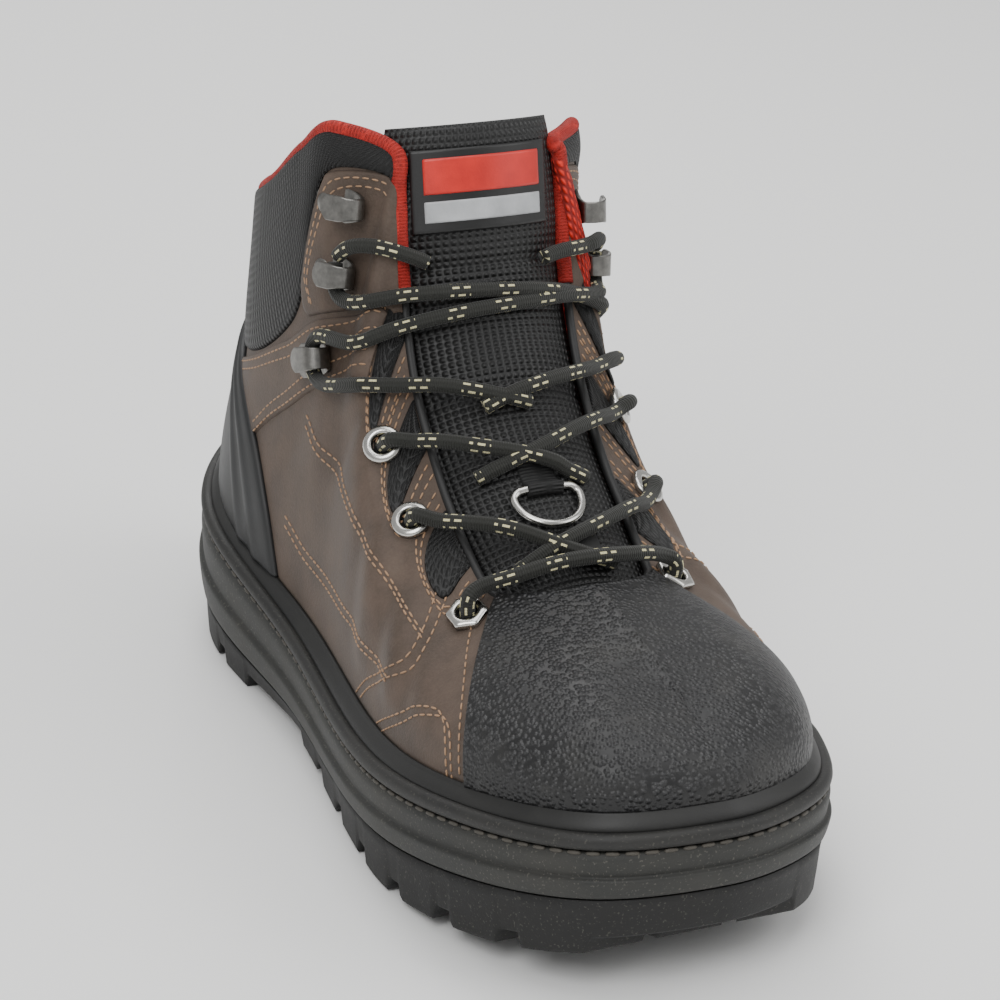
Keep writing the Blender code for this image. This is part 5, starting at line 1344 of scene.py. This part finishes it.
def dress_counter():
    """Moulded cup: thickness + kick lugs + a double ridge at its front edge + ribs behind."""
    rises = np.linspace(0.005, 0.57, 110)
    edge = calm_curve(COUNTER_EDGE, 1, rises)
    shares = np.linspace(0, 1, 110) ** 0.9
    outer, inner = [], []
    for side, part in ((-1, shares[::-1]), (1, shares[1:])):
        for share in part:
            turns = edge * share
            face = upper_face(side, turns, rises)
            normal = upper_normal(side, turns, rises)
            roll = np.sqrt(np.clip(1 - max(0, (share - 0.955) / 0.045) ** 2, 0, 1))
            top = np.sqrt(np.clip(1 - np.clip((rises - 0.545) / 0.025, 0, 1) ** 2, 0, 1))
            high = COUNTER_THICK * (0.35 + 0.65 * roll * top)
            high = high + 0.8 * MM * (np.exp(-((share - 0.93) / 0.018) ** 2) + np.exp(-((share - 0.86) / 0.018) ** 2))
            for rise, tall, wide, bump_high in COUNTER_BUMPS:
                far = ((rises - rise) / tall) ** 2 + (turns / wide) ** 2
                high = high + bump_high * MM * np.clip(1 - far, 0, 1) ** 1.5
            ribs = 0.5 + 0.5 * np.cos((rises - 0.40) / 0.016 * 2 * np.pi)
            zone = (np.clip((rises - 0.395) / 0.01, 0, 1) * np.clip((0.53 - rises) / 0.01, 0, 1)
                    * np.clip((0.62 - share) / 0.05, 0, 1))
            high = high + 0.7 * MM * ribs * zone
            outer.append(face + normal * (high + 1.5 * GAP)[:, None])
            inner.append(face - normal * 0.3 * MM)
    shape = shell("heel_cup", np.array(outer), np.array(inner), finish("counter"))
    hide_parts("heel_counter")
    return shape


def window_line(turn, rise, wide, grow):
    """Rounded lower border of a finger window, grown outwards for its stitching."""
    wide, low = wide + grow, rise - grow * 2.4
    return [(turn - wide, 0.97), (turn - wide, 0.88), (turn - 0.92 * wide, low + 0.07),
            (turn - 0.55 * wide, low + 0.015),
            (turn, low), (turn + 0.55 * wide, low + 0.015), (turn + 0.92 * wide, low + 0.07), (turn + wide, 0.88),
            (turn + wide, 0.97)]


def size_of(key):
    """A size from the panel."""
    return getattr(bpy.context.scene.boot_sizes, key)


def dress_panels():
    """Leather overlays, collar mesh and finger windows on both sides of the upper."""
    for side, word in ((-1, "lateral"), (1, "medial")):
        rows = PANELS[side]
        collar = patch("collar_mesh_" + word, side, rows["collar_low"], rows["collar_high"], 0.1 * MM, 0.7 * MM,
                       finish("collar"), size_of("collar_fill"), (140, 60), open_start=True)
        strap = patch("ankle_strap_" + word, side, rows["strap_low"], rows["strap_high"], 0.0, 1.2 * MM,
                      finish("panel"), 0.0, (180, 50))
        stay = patch("eyestay_" + word, side, rows["stay_low"], rows["stay_high"], 0.0, 1.3 * MM, finish("panel"),
                     0.0, (260, 60))
        for k, (turn, rise, wide) in enumerate(rows["windows"]):
            low = window_line(turn, rise, wide, 0.0)
            high = [(turn - wide, 0.985), (turn, 0.985), (turn + wide, 0.985)]
            window = patch("finger_window_%s_%d" % (word, k + 1), side, low, high, -0.3 * MM, 0.9 * MM,
                           finish("collar"), 0.5 * MM, (50, 50), 1.2)


def dress_binding():
    """Red binding over the collar's edge, and the black piping that follows it down the throat."""
    for name, first, last, radius, look in (("collar_binding", 0.0, 0.556, 2.3, "binding"),
                                            ("throat_piping", 0.548, THROAT_END - 0.004, 1.35, "piping")):
        turns = np.linspace(first, last, 420)
        lines = []
        for side in (-1, 1):
            line = on_upper(side, turns, np.ones(len(turns)), 0.2 * MM)
            inward = upper_normal(side, turns, np.full(len(turns), 0.999))
            line -= inward * (wall_depth(side, turns, 1.0) * 0.5)[:, None]
            lines.append(line)
        if first == 0.0:
            shape = tube(name, np.concatenate([lines[0][::-1], lines[1][1:]]), radius * MM, finish(look), 16)
        else:
            for line, word in zip(lines, ("lateral", "medial")):
                shape = tube(name + "_" + word, line, radius * MM, finish(look), 12)


def dress_stitching():
    """Double rows of tan thread along the seams, and dark thread in the welt's grooves."""
    rows = []
    for side in (-1, 1):
        for line, gap, lift in STITCHES[side]:
            rows.append((side, line, lift))
            if gap:
                rows.append((side, [(t + gap[0], r + gap[1]) for t, r in line], lift))
        for turn, rise, wide in PANELS[side]["windows"]:
            rows.append((side, window_line(turn, rise, wide, 0.005), 0.1))
            rows.append((side, window_line(turn, rise, wide, 0.011), 0.1))
    shape = stitch_rows("seam_threads", rows, finish("thread"))
    places, ways, outs = [], [], []
    for inset, high in ((5.6, 5.0), (1.25, -0.15)):
        line = both_sides(1200, lambda side, turns: sole_ring(side, turns, inset, 1.0, high))
        line = np.concatenate([line, line[:1]])
        run = np.concatenate([[0], np.cumsum(np.linalg.norm(np.diff(line, axis=0), axis=1))])
        at = np.arange(0, run[-1], 5.2 * MM)
        spot = np.stack([np.interp(at, run, line[:, c]) for c in range(3)], -1)
        near = np.stack([np.interp(at + 0.3 * MM, run, line[:, c]) for c in range(3)], -1)
        places.append(spot)
        ways.append(unit(near - spot + 1e-9))
        outs.append(np.repeat([[0.0, 0.0, 1.0]], len(at), 0))
    shape = lenses("sole_threads", np.concatenate(places), np.concatenate(ways), np.concatenate(outs),
                   finish("dark_thread"), 4.2, 1.3)


def dress_tongue():
    """Padded tongue: face + normal * pad, quilted down its middle, red mesh behind."""
    shares = np.linspace(0, 1, 170)
    spread = np.linspace(-1, 1, 90)
    half = calm_curve(TONGUE_LINE, 4, shares) * ACROSS
    s, w = np.meshgrid(shares, spread, indexing="ij")
    face, normal = tongue_point(s, w * half[:, None], 0.0)
    taper = np.sqrt(np.clip(1 - abs(w) ** 4, 0, 1))
    end = np.sqrt(np.clip((1 - s) / 0.04, 0, 1)) * np.sqrt(np.clip(s / 0.05, 0, 1))
    pad = 0.9 * MM * taper * end
    pad = pad + 1.3 * MM * np.clip((s - 0.70) / 0.06, 0, 1) * taper * end
    seam = np.exp(-((s - 0.475 - 0.02 * np.cos(w * 2)) / 0.006) ** 2) + np.exp(-((s - 0.695) / 0.006) ** 2)
    pad = pad - 0.8 * MM * seam * taper
    depth = TONGUE_THICK * (0.35 + 0.65 * taper) * (0.35 + 0.65 * end)
    depth = depth + 1.2 * MM * np.clip((s - 0.8) / 0.1, 0, 1) * end
    shape = shell("tongue_pad", face + normal * (pad - 0.2 * MM)[..., None], face - normal * depth[..., None],
                  [finish("tongue"), finish("lining")], 1)
    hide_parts("tongue")
    return shape


def tongue_patch(name, shares, half, lift, thick, material, roll=1.0, count=(40, 60), middle=0.0, lean=0.0):
    """Raised plate on the tongue with rolled edges."""
    s = np.linspace(shares[0], shares[1], count[0])
    w = np.linspace(-1, 1, count[1])
    s, w = np.meshgrid(s, w, indexing="ij")
    across = middle + w * half * MM
    face, normal = tongue_point(s + lean * w, across, 0.0)
    k = np.minimum(np.minimum(s - shares[0], shares[1] - s) * 185.0, (1 - abs(w)) * half) / roll
    edge = np.sqrt(np.clip(1 - (1 - np.clip(k, 0, 1)) ** 2, 0, 1))
    top = face + normal * (lift + thick * edge)[..., None] * MM
    return shell(name, top, face + normal * (lift - 0.6) * MM, material)


def dress_badge():
    """Soft rubber frame with plain raised bars, red and silver, in a layout of its own."""
    low, high = BADGE_SHARES
    half = BADGE_WIDE / MM / 2
    shape = tongue_patch("badge_frame", (low, high), half, 0.9, 2.0, finish("frame"), 1.4, (60, 90))
    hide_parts("tongue_badge")
    tall = high - low
    bars = [("badge_bar_1", 0.12, 0.36, "silver"), ("badge_bar_2", 0.43, 0.88, "red")]
    for name, a, b, look in bars:
        bar = tongue_patch(name, (low + tall * a, low + tall * b), half - 4.0, 2.6, 0.8, finish(look), 0.7, (24, 70))


def ring_route():
    """The D ring's middle line on the tongue."""
    radius = RING_WIRE / 2
    corner = 3.0 * MM
    half = RING_WIDE / 2 - radius
    deep = RING_DEEP - RING_WIRE
    path = [(x, 0.0) for x in np.linspace(-half + corner, half - corner, 9)]
    bend = np.radians(np.arange(15, 91, 15))
    path += [(half - corner + corner * np.sin(a), corner - corner * np.cos(a)) for a in bend]
    path += [(half * np.cos(a), corner + (deep - corner) * np.sin(a)) for a in np.radians(np.arange(6, 175, 6))]
    path += [(-half + corner - corner * np.sin(a), corner - corner * np.cos(a)) for a in bend[::-1]]
    path = np.array(path)
    share = RING_SHARE - path[:, 1] / RING_SLOPE * 0.1
    point, _ = tongue_point(share, path[:, 0], radius + 2 * GAP + RING_STAND)
    return point


def dress_ring():
    """Wire ring and its webbing tab."""
    ring = tube("d_ring_wire", ring_route(), RING_WIRE / 2, finish("bright"), 16, loop=True)
    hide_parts("d_ring")
    s = np.linspace(0.352, 0.281, 40)
    w = np.linspace(-1, 1, 24)
    s, w = np.meshgrid(s, w, indexing="ij")
    face, normal = tongue_point(s, w * 5.6 * MM, 0.0)
    hump = 1.2 + 2.9 * np.exp(-((s - RING_SHARE) / 0.011) ** 2)
    edge = np.sqrt(np.clip(1 - np.clip((abs(w) - 0.86) / 0.14, 0, 1) ** 2, 0, 1))
    top = face + normal * (hump * (0.4 + 0.6 * edge))[..., None] * MM
    tab = shell("ring_webbing", top, face + normal * 0.2 * MM, finish("tab"))
    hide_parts("d_ring")
    flat = tongue_patch("tab_anchor", (0.145, 0.205), 7.5, 0.5, 1.0, finish("piping"), 0.8, (30, 30), 3.0 * MM)


def ground():
    """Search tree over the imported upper, tongue, cap, ring and eyelets, which carry the lace."""
    points, faces = [], []
    for name, node in frame["nodes"].items():
        if name in ("upper", "tongue", "toe_cap", "d_ring") or name.startswith(("eyelet", "drain")):
            start = len(points)
            points += [tuple(v.co) for v in node.data.vertices]
            faces += [[start + i for i in p.vertices] for p in node.data.polygons]
    return BVHTree.FromPolygons(points, faces)


def upper_tree():
    data = frame["nodes"]["upper"].data
    return BVHTree.FromPolygons([tuple(v.co) for v in data.vertices], [list(p.vertices) for p in data.polygons])


def fastener_frames():
    """Frame and seat height of every eyelet, drain and hook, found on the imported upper."""
    tree = upper_tree()
    plate = [(a * MM, u * MM) for a in np.linspace(-10, 7, 9) for u in (-5.25, -2.6, 0, 2.6, 5.25)]
    found = {}
    for name, kind, side, turn, rise, tilt in FASTENERS:
        place = surface_frame(side, turn, rise, tilt)
        if kind == "hook":
            place, high = seated(tree, place, plate)
            found[name] = (kind, place, high + 1.8 * GAP + HOOK_METAL / 2)
        else:
            bore, flange = (DRAIN_BORE, DRAIN_FLANGE) if kind == "drain" else (EYELET_BORE, EYELET_FLANGE)
            turned = np.arange(16) * 2 * np.pi / 16
            radii = np.linspace(bore + BARREL_WALL, flange * 1.08, 4)
            spots = [(r * np.cos(a), r * np.sin(a)) for a in turned for r in radii]
            place, high = seated(tree, place, spots)
            found[name] = (kind, place, high + 2.4 * GAP)
    return found


def lathe(name, place, profile, materials, corners=48, hexagon=0.0):
    """Ring turned about the frame's normal: radius and height of profile; a hexagon flattens
    the radius by cos of the angle from its nearest corner."""
    angles = np.linspace(0, 2 * np.pi, corners + 1)
    profile = np.array(profile)
    radius = profile[:, 0][None] * np.ones((corners + 1, 1))
    if hexagon:
        flat = np.cos(np.pi / 6) / np.cos((angles % (np.pi / 3)) - np.pi / 6)
        radius = np.where(radius > hexagon, radius * (1.08 * flat)[:, None], radius)
    local = np.stack([radius * np.cos(angles)[:, None], radius * np.sin(angles)[:, None],
                      profile[:, 1][None] * np.ones((corners + 1, 1))], -1)
    grid = placed(place, local)
    index = np.arange(grid.shape[0] * grid.shape[1]).reshape(grid.shape[:2])
    return piece(name, grid.reshape(-1, 3), lattice(index), materials, arc_uv(grid))


def dress_eyelets(found):
    """Rolled eyelets with a dark bore, a near-black disc that is painted shade in the hole; the drains' bores show
    collar mesh, and the first pair has a hexagonal flange.
    """
    for name, (kind, place, seat) in found.items():
        if kind == "hook":
            continue
        bore, flange = (DRAIN_BORE, DRAIN_FLANGE) if kind == "drain" else (EYELET_BORE, EYELET_FLANGE)
        rim = [(bore, seat - 3.0 * MM), (bore, seat + 0.2 * MM), (bore + 0.3 * MM, seat + 0.75 * MM),
               (bore + 0.9 * MM, seat + 1.0 * MM),
               (flange - 1.3 * MM, seat + 0.95 * MM), (flange - 0.5 * MM, seat + 0.7 * MM), (flange, seat + 0.2 * MM),
               (flange - 0.1 * MM, seat - 1.2 * MM), (bore + 0.5 * MM, seat - 3.0 * MM), (bore, seat - 3.0 * MM)]
        shape = lathe(name + "_ring", place, rim, finish("bright"), 48, 4.5 * MM if kind == "hex" else 0.0)
        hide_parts(name)
        wide = bore + 0.05 * MM
        disc = [(0.0, seat - 1.2 * MM), (wide, seat - 1.2 * MM), (wide, seat - 2.0 * MM), (0.0, seat - 2.0 * MM)]
        # Painted shade: in an eyelet the disc inside the bore is near black to stand for the shade in the hole.
        hole = lathe(name + "_bore", place, disc, finish("collar" if kind == "drain" else "black"), 32)


def dress_hooks(found):
    """Bent plates: a rounded strip swept along the fold, and a domed rivet."""
    strip = np.array(HOOK_STRIP)
    for name, (kind, place, seat) in found.items():
        if kind != "hook":
            continue
        pace = np.concatenate([[0], np.cumsum(np.hypot(np.diff(strip[:, 0]) * 20, np.diff(strip[:, 1]) * 4.5))])
        table = np.concatenate([pace[:, None], strip], 1)
        at = np.linspace(0, pace[-1], 90)
        ahead = calm_curve(table, 1, at) * HOOK_LENGTH
        out = calm_curve(table, 2, at) * LACE_ROUND + seat
        half = calm_curve(table, 3, at) * HOOK_WIDTH / 2
        round_end = np.sqrt(np.clip(1 - (1 - np.clip(at / 3.2, 0, 1)) ** 2, 0, 1))
        half = np.minimum(half, HOOK_WIDTH / 2 * (0.12 + 0.88 * round_end))
        tail = np.sqrt(np.clip(1 - (1 - np.clip((pace[-1] - at) / 2.5, 0, 1)) ** 2, 0, 1))
        half = half * (0.25 + 0.75 * tail)
        line = np.stack([ahead, out], -1)
        run = unit(np.gradient(line, axis=0))
        across = np.stack([-run[:, 1], run[:, 0]], -1) * HOOK_METAL / 2
        loop = [(0.6, -1.0), (1, -0.92), (1, 0.92), (0.6, 1.0), (-0.6, 1.0), (-1, 0.92), (-1, -0.92), (-0.6, -1.0),
                (0.6, -1.0)]
        local = np.stack([np.stack([line[:, 0] + across[:, 0] * k, half * w, line[:, 1] + across[:, 1] * k], -1)
                          for k, w in loop], 1)
        middle = np.stack([line[:, 0], 0 * half, line[:, 1]], -1)
        local = np.concatenate([np.repeat(middle[:1, None], 9, 1), local, np.repeat(middle[-1:, None], 9, 1)])
        grid = placed(place, local)
        index = np.arange(grid.shape[0] * 9).reshape(-1, 9)
        shape = piece(name + "_plate", grid.reshape(-1, 3), lattice(index), finish("hook"), arc_uv(grid),
                      smooth=False)
        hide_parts(name)
        base = seat + HOOK_METAL / 2
        dome = [(0.0, base - 0.6 * MM)] + [(3.6 * MM * np.cos(a), base - 0.1 * MM + 1.7 * MM * np.sin(a))
                                           for a in np.linspace(0, np.pi / 2, 9)]
        centre = (placed(place, [-0.28 * HOOK_LENGTH, 0.0, 0.0]), place[1], place[2], place[3])
        rivet = lathe(name + "_dome", centre, dome, finish("hook"), 40)


def into_eyelet(route, row):
    """The route's start carried through its eyelet: a chord from just off the wall to the
    fourth place + hump * sin(pi * share ** 0.8) along the wall's normal."""
    side = -1 if row[0] == "L" else 1
    normal = upper_normal(side, row[1], row[2])
    into = upper_face(side, row[1], row[2]) + normal * 0.2 * MM
    bridge = np.linspace(0, 1, 6)[1:, None]
    arch = into + (route[3] - into) * bridge + np.sin(np.pi * bridge ** 0.8) * normal * LACE_HUMP
    return np.concatenate([[into], arch[:-1], route[4:]])


def dress_lace(found):
    """Round lace through the eyelets and hooks, each strand a tube on its laid route."""
    tree = ground()
    plates = {name: (place, seat) for name, (kind, place, seat) in found.items() if kind == "hook"}
    clear = LACE_ROUND / 2 + 3 * GAP
    look = finish("lace")
    strands = [
        ("lace_bar", LACE_BAR, "lace_cross_1"),
        ("lace_first_lateral", LACE_FIRST_OVER, "lace_cross_1"),
        ("lace_first_medial", LACE_FIRST_UNDER, "lace_cross_1"),
        ("lace_second_lateral", LACE_SECOND_OVER, "lace_cross_2"),
        ("lace_second_medial", LACE_SECOND_UNDER, "lace_cross_2"),
        ("lace_third_medial", LACE_THIRD_MEDIAL, "lace_cross_3"),
        ("lace_third_lateral", LACE_THIRD_LATERAL, "lace_cross_3"),
    ]
    for name, rows, node in strands:
        route = laid_over(lace_route(rows, 1.6 * MM, plates), tree, clear, 1.5 * MM)
        for row, flip in ((rows[0], 1), (rows[-1], -1)):
            if row[0] in ("L", "M"):
                route = into_eyelet(route[::flip], row)[::flip]
        fine = resample(route, 0.9 * MM)
        shape = tube(name, fine, LACE_ROUND / 2, look, 18)
        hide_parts(node)
    for name, rows in (("lace_end_lateral", LACE_END_LATERAL), ("lace_end_medial", LACE_END_MEDIAL)):
        route = laid_over(lace_route(rows, 1.6 * MM, plates), tree, clear, 1.0 * MM)
        shape = tube(name + "_cord", route, LACE_ROUND / 2, look, 18)
        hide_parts(name)


def resample(route, spacing):
    """The same route as a smooth line with even places."""
    run = np.concatenate([[0], np.cumsum(np.linalg.norm(np.diff(route, axis=0), axis=1))])
    table = np.concatenate([run[:, None], route], 1)
    at = np.linspace(0, run[-1], int(run[-1] / spacing) + 1)
    return np.stack([column_curve(table, c, at) for c in (1, 2, 3)], -1)


def dress_insole():
    """Cloth-topped footbed inside the rand line."""
    levels = [(12.6, GAP), (12.2, GAP + 1.5 * MM), (12.4, GAP + 3.0 * MM), (13.2, GAP + 3.6 * MM),
              (20.0, GAP + 3.7 * MM),
              (32.0, GAP + 3.5 * MM)]
    grid = []
    for inset, lift in levels:
        def ring(side, turns, i=inset, h=lift):
            flat = edge_loop(side, turns, i * MM)
            flat[:, 1] = np.clip(flat[:, 1], i * MM, SOLE_LENGTH - i * MM)
            return np.concatenate([flat, (sole_height(2, flat[:, 1]) + h)[:, None]], -1)
        grid.append(both_sides(160, ring))
    middle = grid[-1].copy()
    middle[:, 0] *= 0.0
    grid.append(middle)
    shape = loop_ring("insole_board", np.array([grid[0] * [0, 1, 1]] + grid), finish("insole"))
    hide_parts("insole")
    return shape


# Where the photograph was taken from, fitted to the boot, and the place that the view centres
EYE = (-0.4079, -0.8571, 0.4756)
EYE_AHEAD = (0.4565, 0.8037, -0.3817)
EYE_RIGHT = (0.8803, -0.4703, 0.0625)
VIEW_CENTRE = (0.0, -0.01, 0.085)


def dress_stage():
    """Pale floor, soft lights and the camera at the photograph's angle."""
    mesh = bpy.data.meshes.new("floor")
    mesh.from_pydata([(-6, -6, -0.0004), (6, -6, -0.0004), (6, 6, -0.0004), (-6, 6, -0.0004)], [], [(0, 1, 2, 3)])
    mesh.materials.append(finish("floor"))
    floor = bpy.data.objects.new("floor", mesh)
    bpy.context.scene.collection.objects.link(floor)
    scene = bpy.context.scene
    sky = bpy.data.worlds.new("studio")
    scene.world = sky
    sky.use_nodes = True
    sky.node_tree.nodes["Background"].inputs["Color"].default_value = PALE
    sky.node_tree.nodes["Background"].inputs["Strength"].default_value = 0.55
    for name, place, size, power in (("key", (-0.9, -0.9, 1.3), 0.9, 16.0), ("fill", (1.0, -0.7, 0.9), 1.0, 8.0),
                                     ("back", (0.2, 1.1, 1.2), 0.8, 9.0), ("top", (0.0, 0.0, 1.6), 1.0, 9.0)):
        lamp = bpy.data.lights.new(name, "AREA")
        lamp.size = size
        lamp.energy = power
        light = bpy.data.objects.new(name, lamp)
        light.location = place
        light.rotation_euler = (Vector((0.0, 0.0, 0.08)) - Vector(place)).to_track_quat("-Z", "Y").to_euler()
        scene.collection.objects.link(light)
    eye = Vector(EYE)
    ahead = Vector(EYE_AHEAD).normalized()
    right = Vector(EYE_RIGHT).normalized()
    up = right.cross(ahead).normalized()
    right = ahead.cross(up).normalized()
    camera = bpy.data.cameras.new("photo_camera")
    camera.sensor_width = 36.0
    camera.lens = 124.0
    camera.clip_start = 0.05
    view = bpy.data.objects.new("photo_camera", camera)
    scene.collection.objects.link(view)
    aim = (Vector(VIEW_CENTRE) - eye).normalized()
    turn = ahead.rotation_difference(aim)
    right, up, ahead = turn @ right, turn @ up, turn @ ahead
    view.matrix_world = Matrix(((right.x, up.x, -ahead.x, eye.x), (right.y, up.y, -ahead.y, eye.y),
                                (right.z, up.z, -ahead.z, eye.z), (0, 0, 0, 1)))
    scene.camera = view


def tint(code, name):
    """Colour setting with its default from an sRGB hex code."""
    return bpy.props.FloatVectorProperty(name=name, description=name + " colour", subtype="COLOR", size=3,
                                         min=0.0, max=1.0, default=colour(code)[:3])


class BootColours(bpy.types.PropertyGroup):
    """Colours that a user may change before building."""
    leather_light: tint("#5b4d43", "Leather where rubbed")
    leather_dark: tint("#433830", "Leather in its hollows")
    mesh: tint("#262626", "Mesh threads")
    lining: tint("#e2301f", "Red lining")
    rubber: tint("#20211f", "Sole rubber")
    thread: tint("#a88668", "Seam thread")
    lace: tint("#191a15", "Lace")
    lace_dash: tint("#cdc69c", "Lace dashes")


class BootSizes(bpy.types.PropertyGroup):
    """Sizes of the dressing that a user may change before building."""
    stitch_pitch: bpy.props.FloatProperty(name="Stitch pitch", description="Distance from stitch to stitch",
                                          default=0.0031, min=0.001, max=0.02, unit="LENGTH")
    stitch_width: bpy.props.FloatProperty(name="Thread width", description="Thickness of the seam thread",
                                          default=0.00065, min=0.0002, max=0.003, unit="LENGTH")
    collar_fill: bpy.props.FloatProperty(name="Collar padding", description="Height of the collar's pad",
                                         default=0.0026, min=0.0, max=0.008, unit="LENGTH")
    crease_share: bpy.props.FloatProperty(name="Crease share", description="How deep the creases are drawn",
                                          default=1.0, min=0.0, max=2.0, subtype="FACTOR")


class BOOT_OT_sole(bpy.types.Operator):
    """Build the outsole, midsole, welt bead, rand and insole."""
    bl_idname = "boot.sole"
    bl_label = "Sole"

    def execute(self, context):
        dress_outsole()
        dress_midsole()
        dress_welt()
        dress_rand()
        dress_insole()
        return {"FINISHED"}


class BOOT_OT_upper(bpy.types.Operator):
    """Build the leather upper with its red lining."""
    bl_idname = "boot.upper"
    bl_label = "Upper"

    def execute(self, context):
        dress_upper()
        return {"FINISHED"}


class BOOT_OT_panels(bpy.types.Operator):
    """Build the overlays, the padded mesh collar and the finger windows."""
    bl_idname = "boot.panels"
    bl_label = "Panels"

    def execute(self, context):
        dress_panels()
        return {"FINISHED"}


class BOOT_OT_guards(bpy.types.Operator):
    """Build the toe cap and the heel counter."""
    bl_idname = "boot.guards"
    bl_label = "Toe cap and counter"

    def execute(self, context):
        dress_toe_cap()
        dress_counter()
        return {"FINISHED"}


class BOOT_OT_tongue(bpy.types.Operator):
    """Build the tongue with its badge, ring and tab."""
    bl_idname = "boot.tongue"
    bl_label = "Tongue"

    def execute(self, context):
        dress_tongue()
        dress_badge()
        dress_ring()
        return {"FINISHED"}


class BOOT_OT_edging(bpy.types.Operator):
    """Build the red binding, the black piping and every row of stitching."""
    bl_idname = "boot.edging"
    bl_label = "Binding and stitching"

    def execute(self, context):
        dress_binding()
        dress_stitching()
        return {"FINISHED"}


class BOOT_OT_metal(bpy.types.Operator):
    """Build the eyelets, drains, hooks and rivets."""
    bl_idname = "boot.metal"
    bl_label = "Eyelets and hooks"

    def execute(self, context):
        found = fastener_frames()
        dress_eyelets(found)
        dress_hooks(found)
        return {"FINISHED"}


class BOOT_OT_lace(bpy.types.Operator):
    """Run the lace through the eyelets and hooks."""
    bl_idname = "boot.lace"
    bl_label = "Lace"

    def execute(self, context):
        dress_lace(fastener_frames())
        return {"FINISHED"}


class BOOT_OT_stage(bpy.types.Operator):
    """Set the floor, the lights and the camera."""
    bl_idname = "boot.stage"
    bl_label = "Stage"

    def execute(self, context):
        dress_stage()
        return {"FINISHED"}


STEPS = (BOOT_OT_stage, BOOT_OT_sole, BOOT_OT_upper, BOOT_OT_panels, BOOT_OT_guards, BOOT_OT_tongue,
         BOOT_OT_edging, BOOT_OT_metal, BOOT_OT_lace)


class BOOT_PT_panel(bpy.types.Panel):
    """Lists the sizes, the colours and the steps."""
    bl_idname = "BOOT_PT_panel"
    bl_label = "Wading boot"
    bl_space_type = "VIEW_3D"
    bl_region_type = "UI"
    bl_category = "Boot"

    def draw(self, context):
        for group in (context.scene.boot_sizes, context.scene.boot_colours):
            for key in group.__annotations__:
                self.layout.prop(group, key)
        for step in STEPS:
            self.layout.operator(step.bl_idname)


CLASSES = (BootColours, BootSizes, *STEPS, BOOT_PT_panel)


def register():
    for cls in CLASSES:
        bpy.utils.register_class(cls)
    bpy.types.Scene.boot_colours = bpy.props.PointerProperty(type=BootColours)
    bpy.types.Scene.boot_sizes = bpy.props.PointerProperty(type=BootSizes)


def unregister():
    del bpy.types.Scene.boot_colours
    del bpy.types.Scene.boot_sizes
    for cls in reversed(CLASSES):
        bpy.utils.unregister_class(cls)


def main():
    register()
    bpy.ops.boot.stage()
    bpy.ops.boot.sole()
    bpy.ops.boot.upper()
    bpy.ops.boot.panels()
    bpy.ops.boot.guards()
    bpy.ops.boot.tongue()
    bpy.ops.boot.edging()
    bpy.ops.boot.metal()
    bpy.ops.boot.lace()


if __name__ == "__main__":
    main()
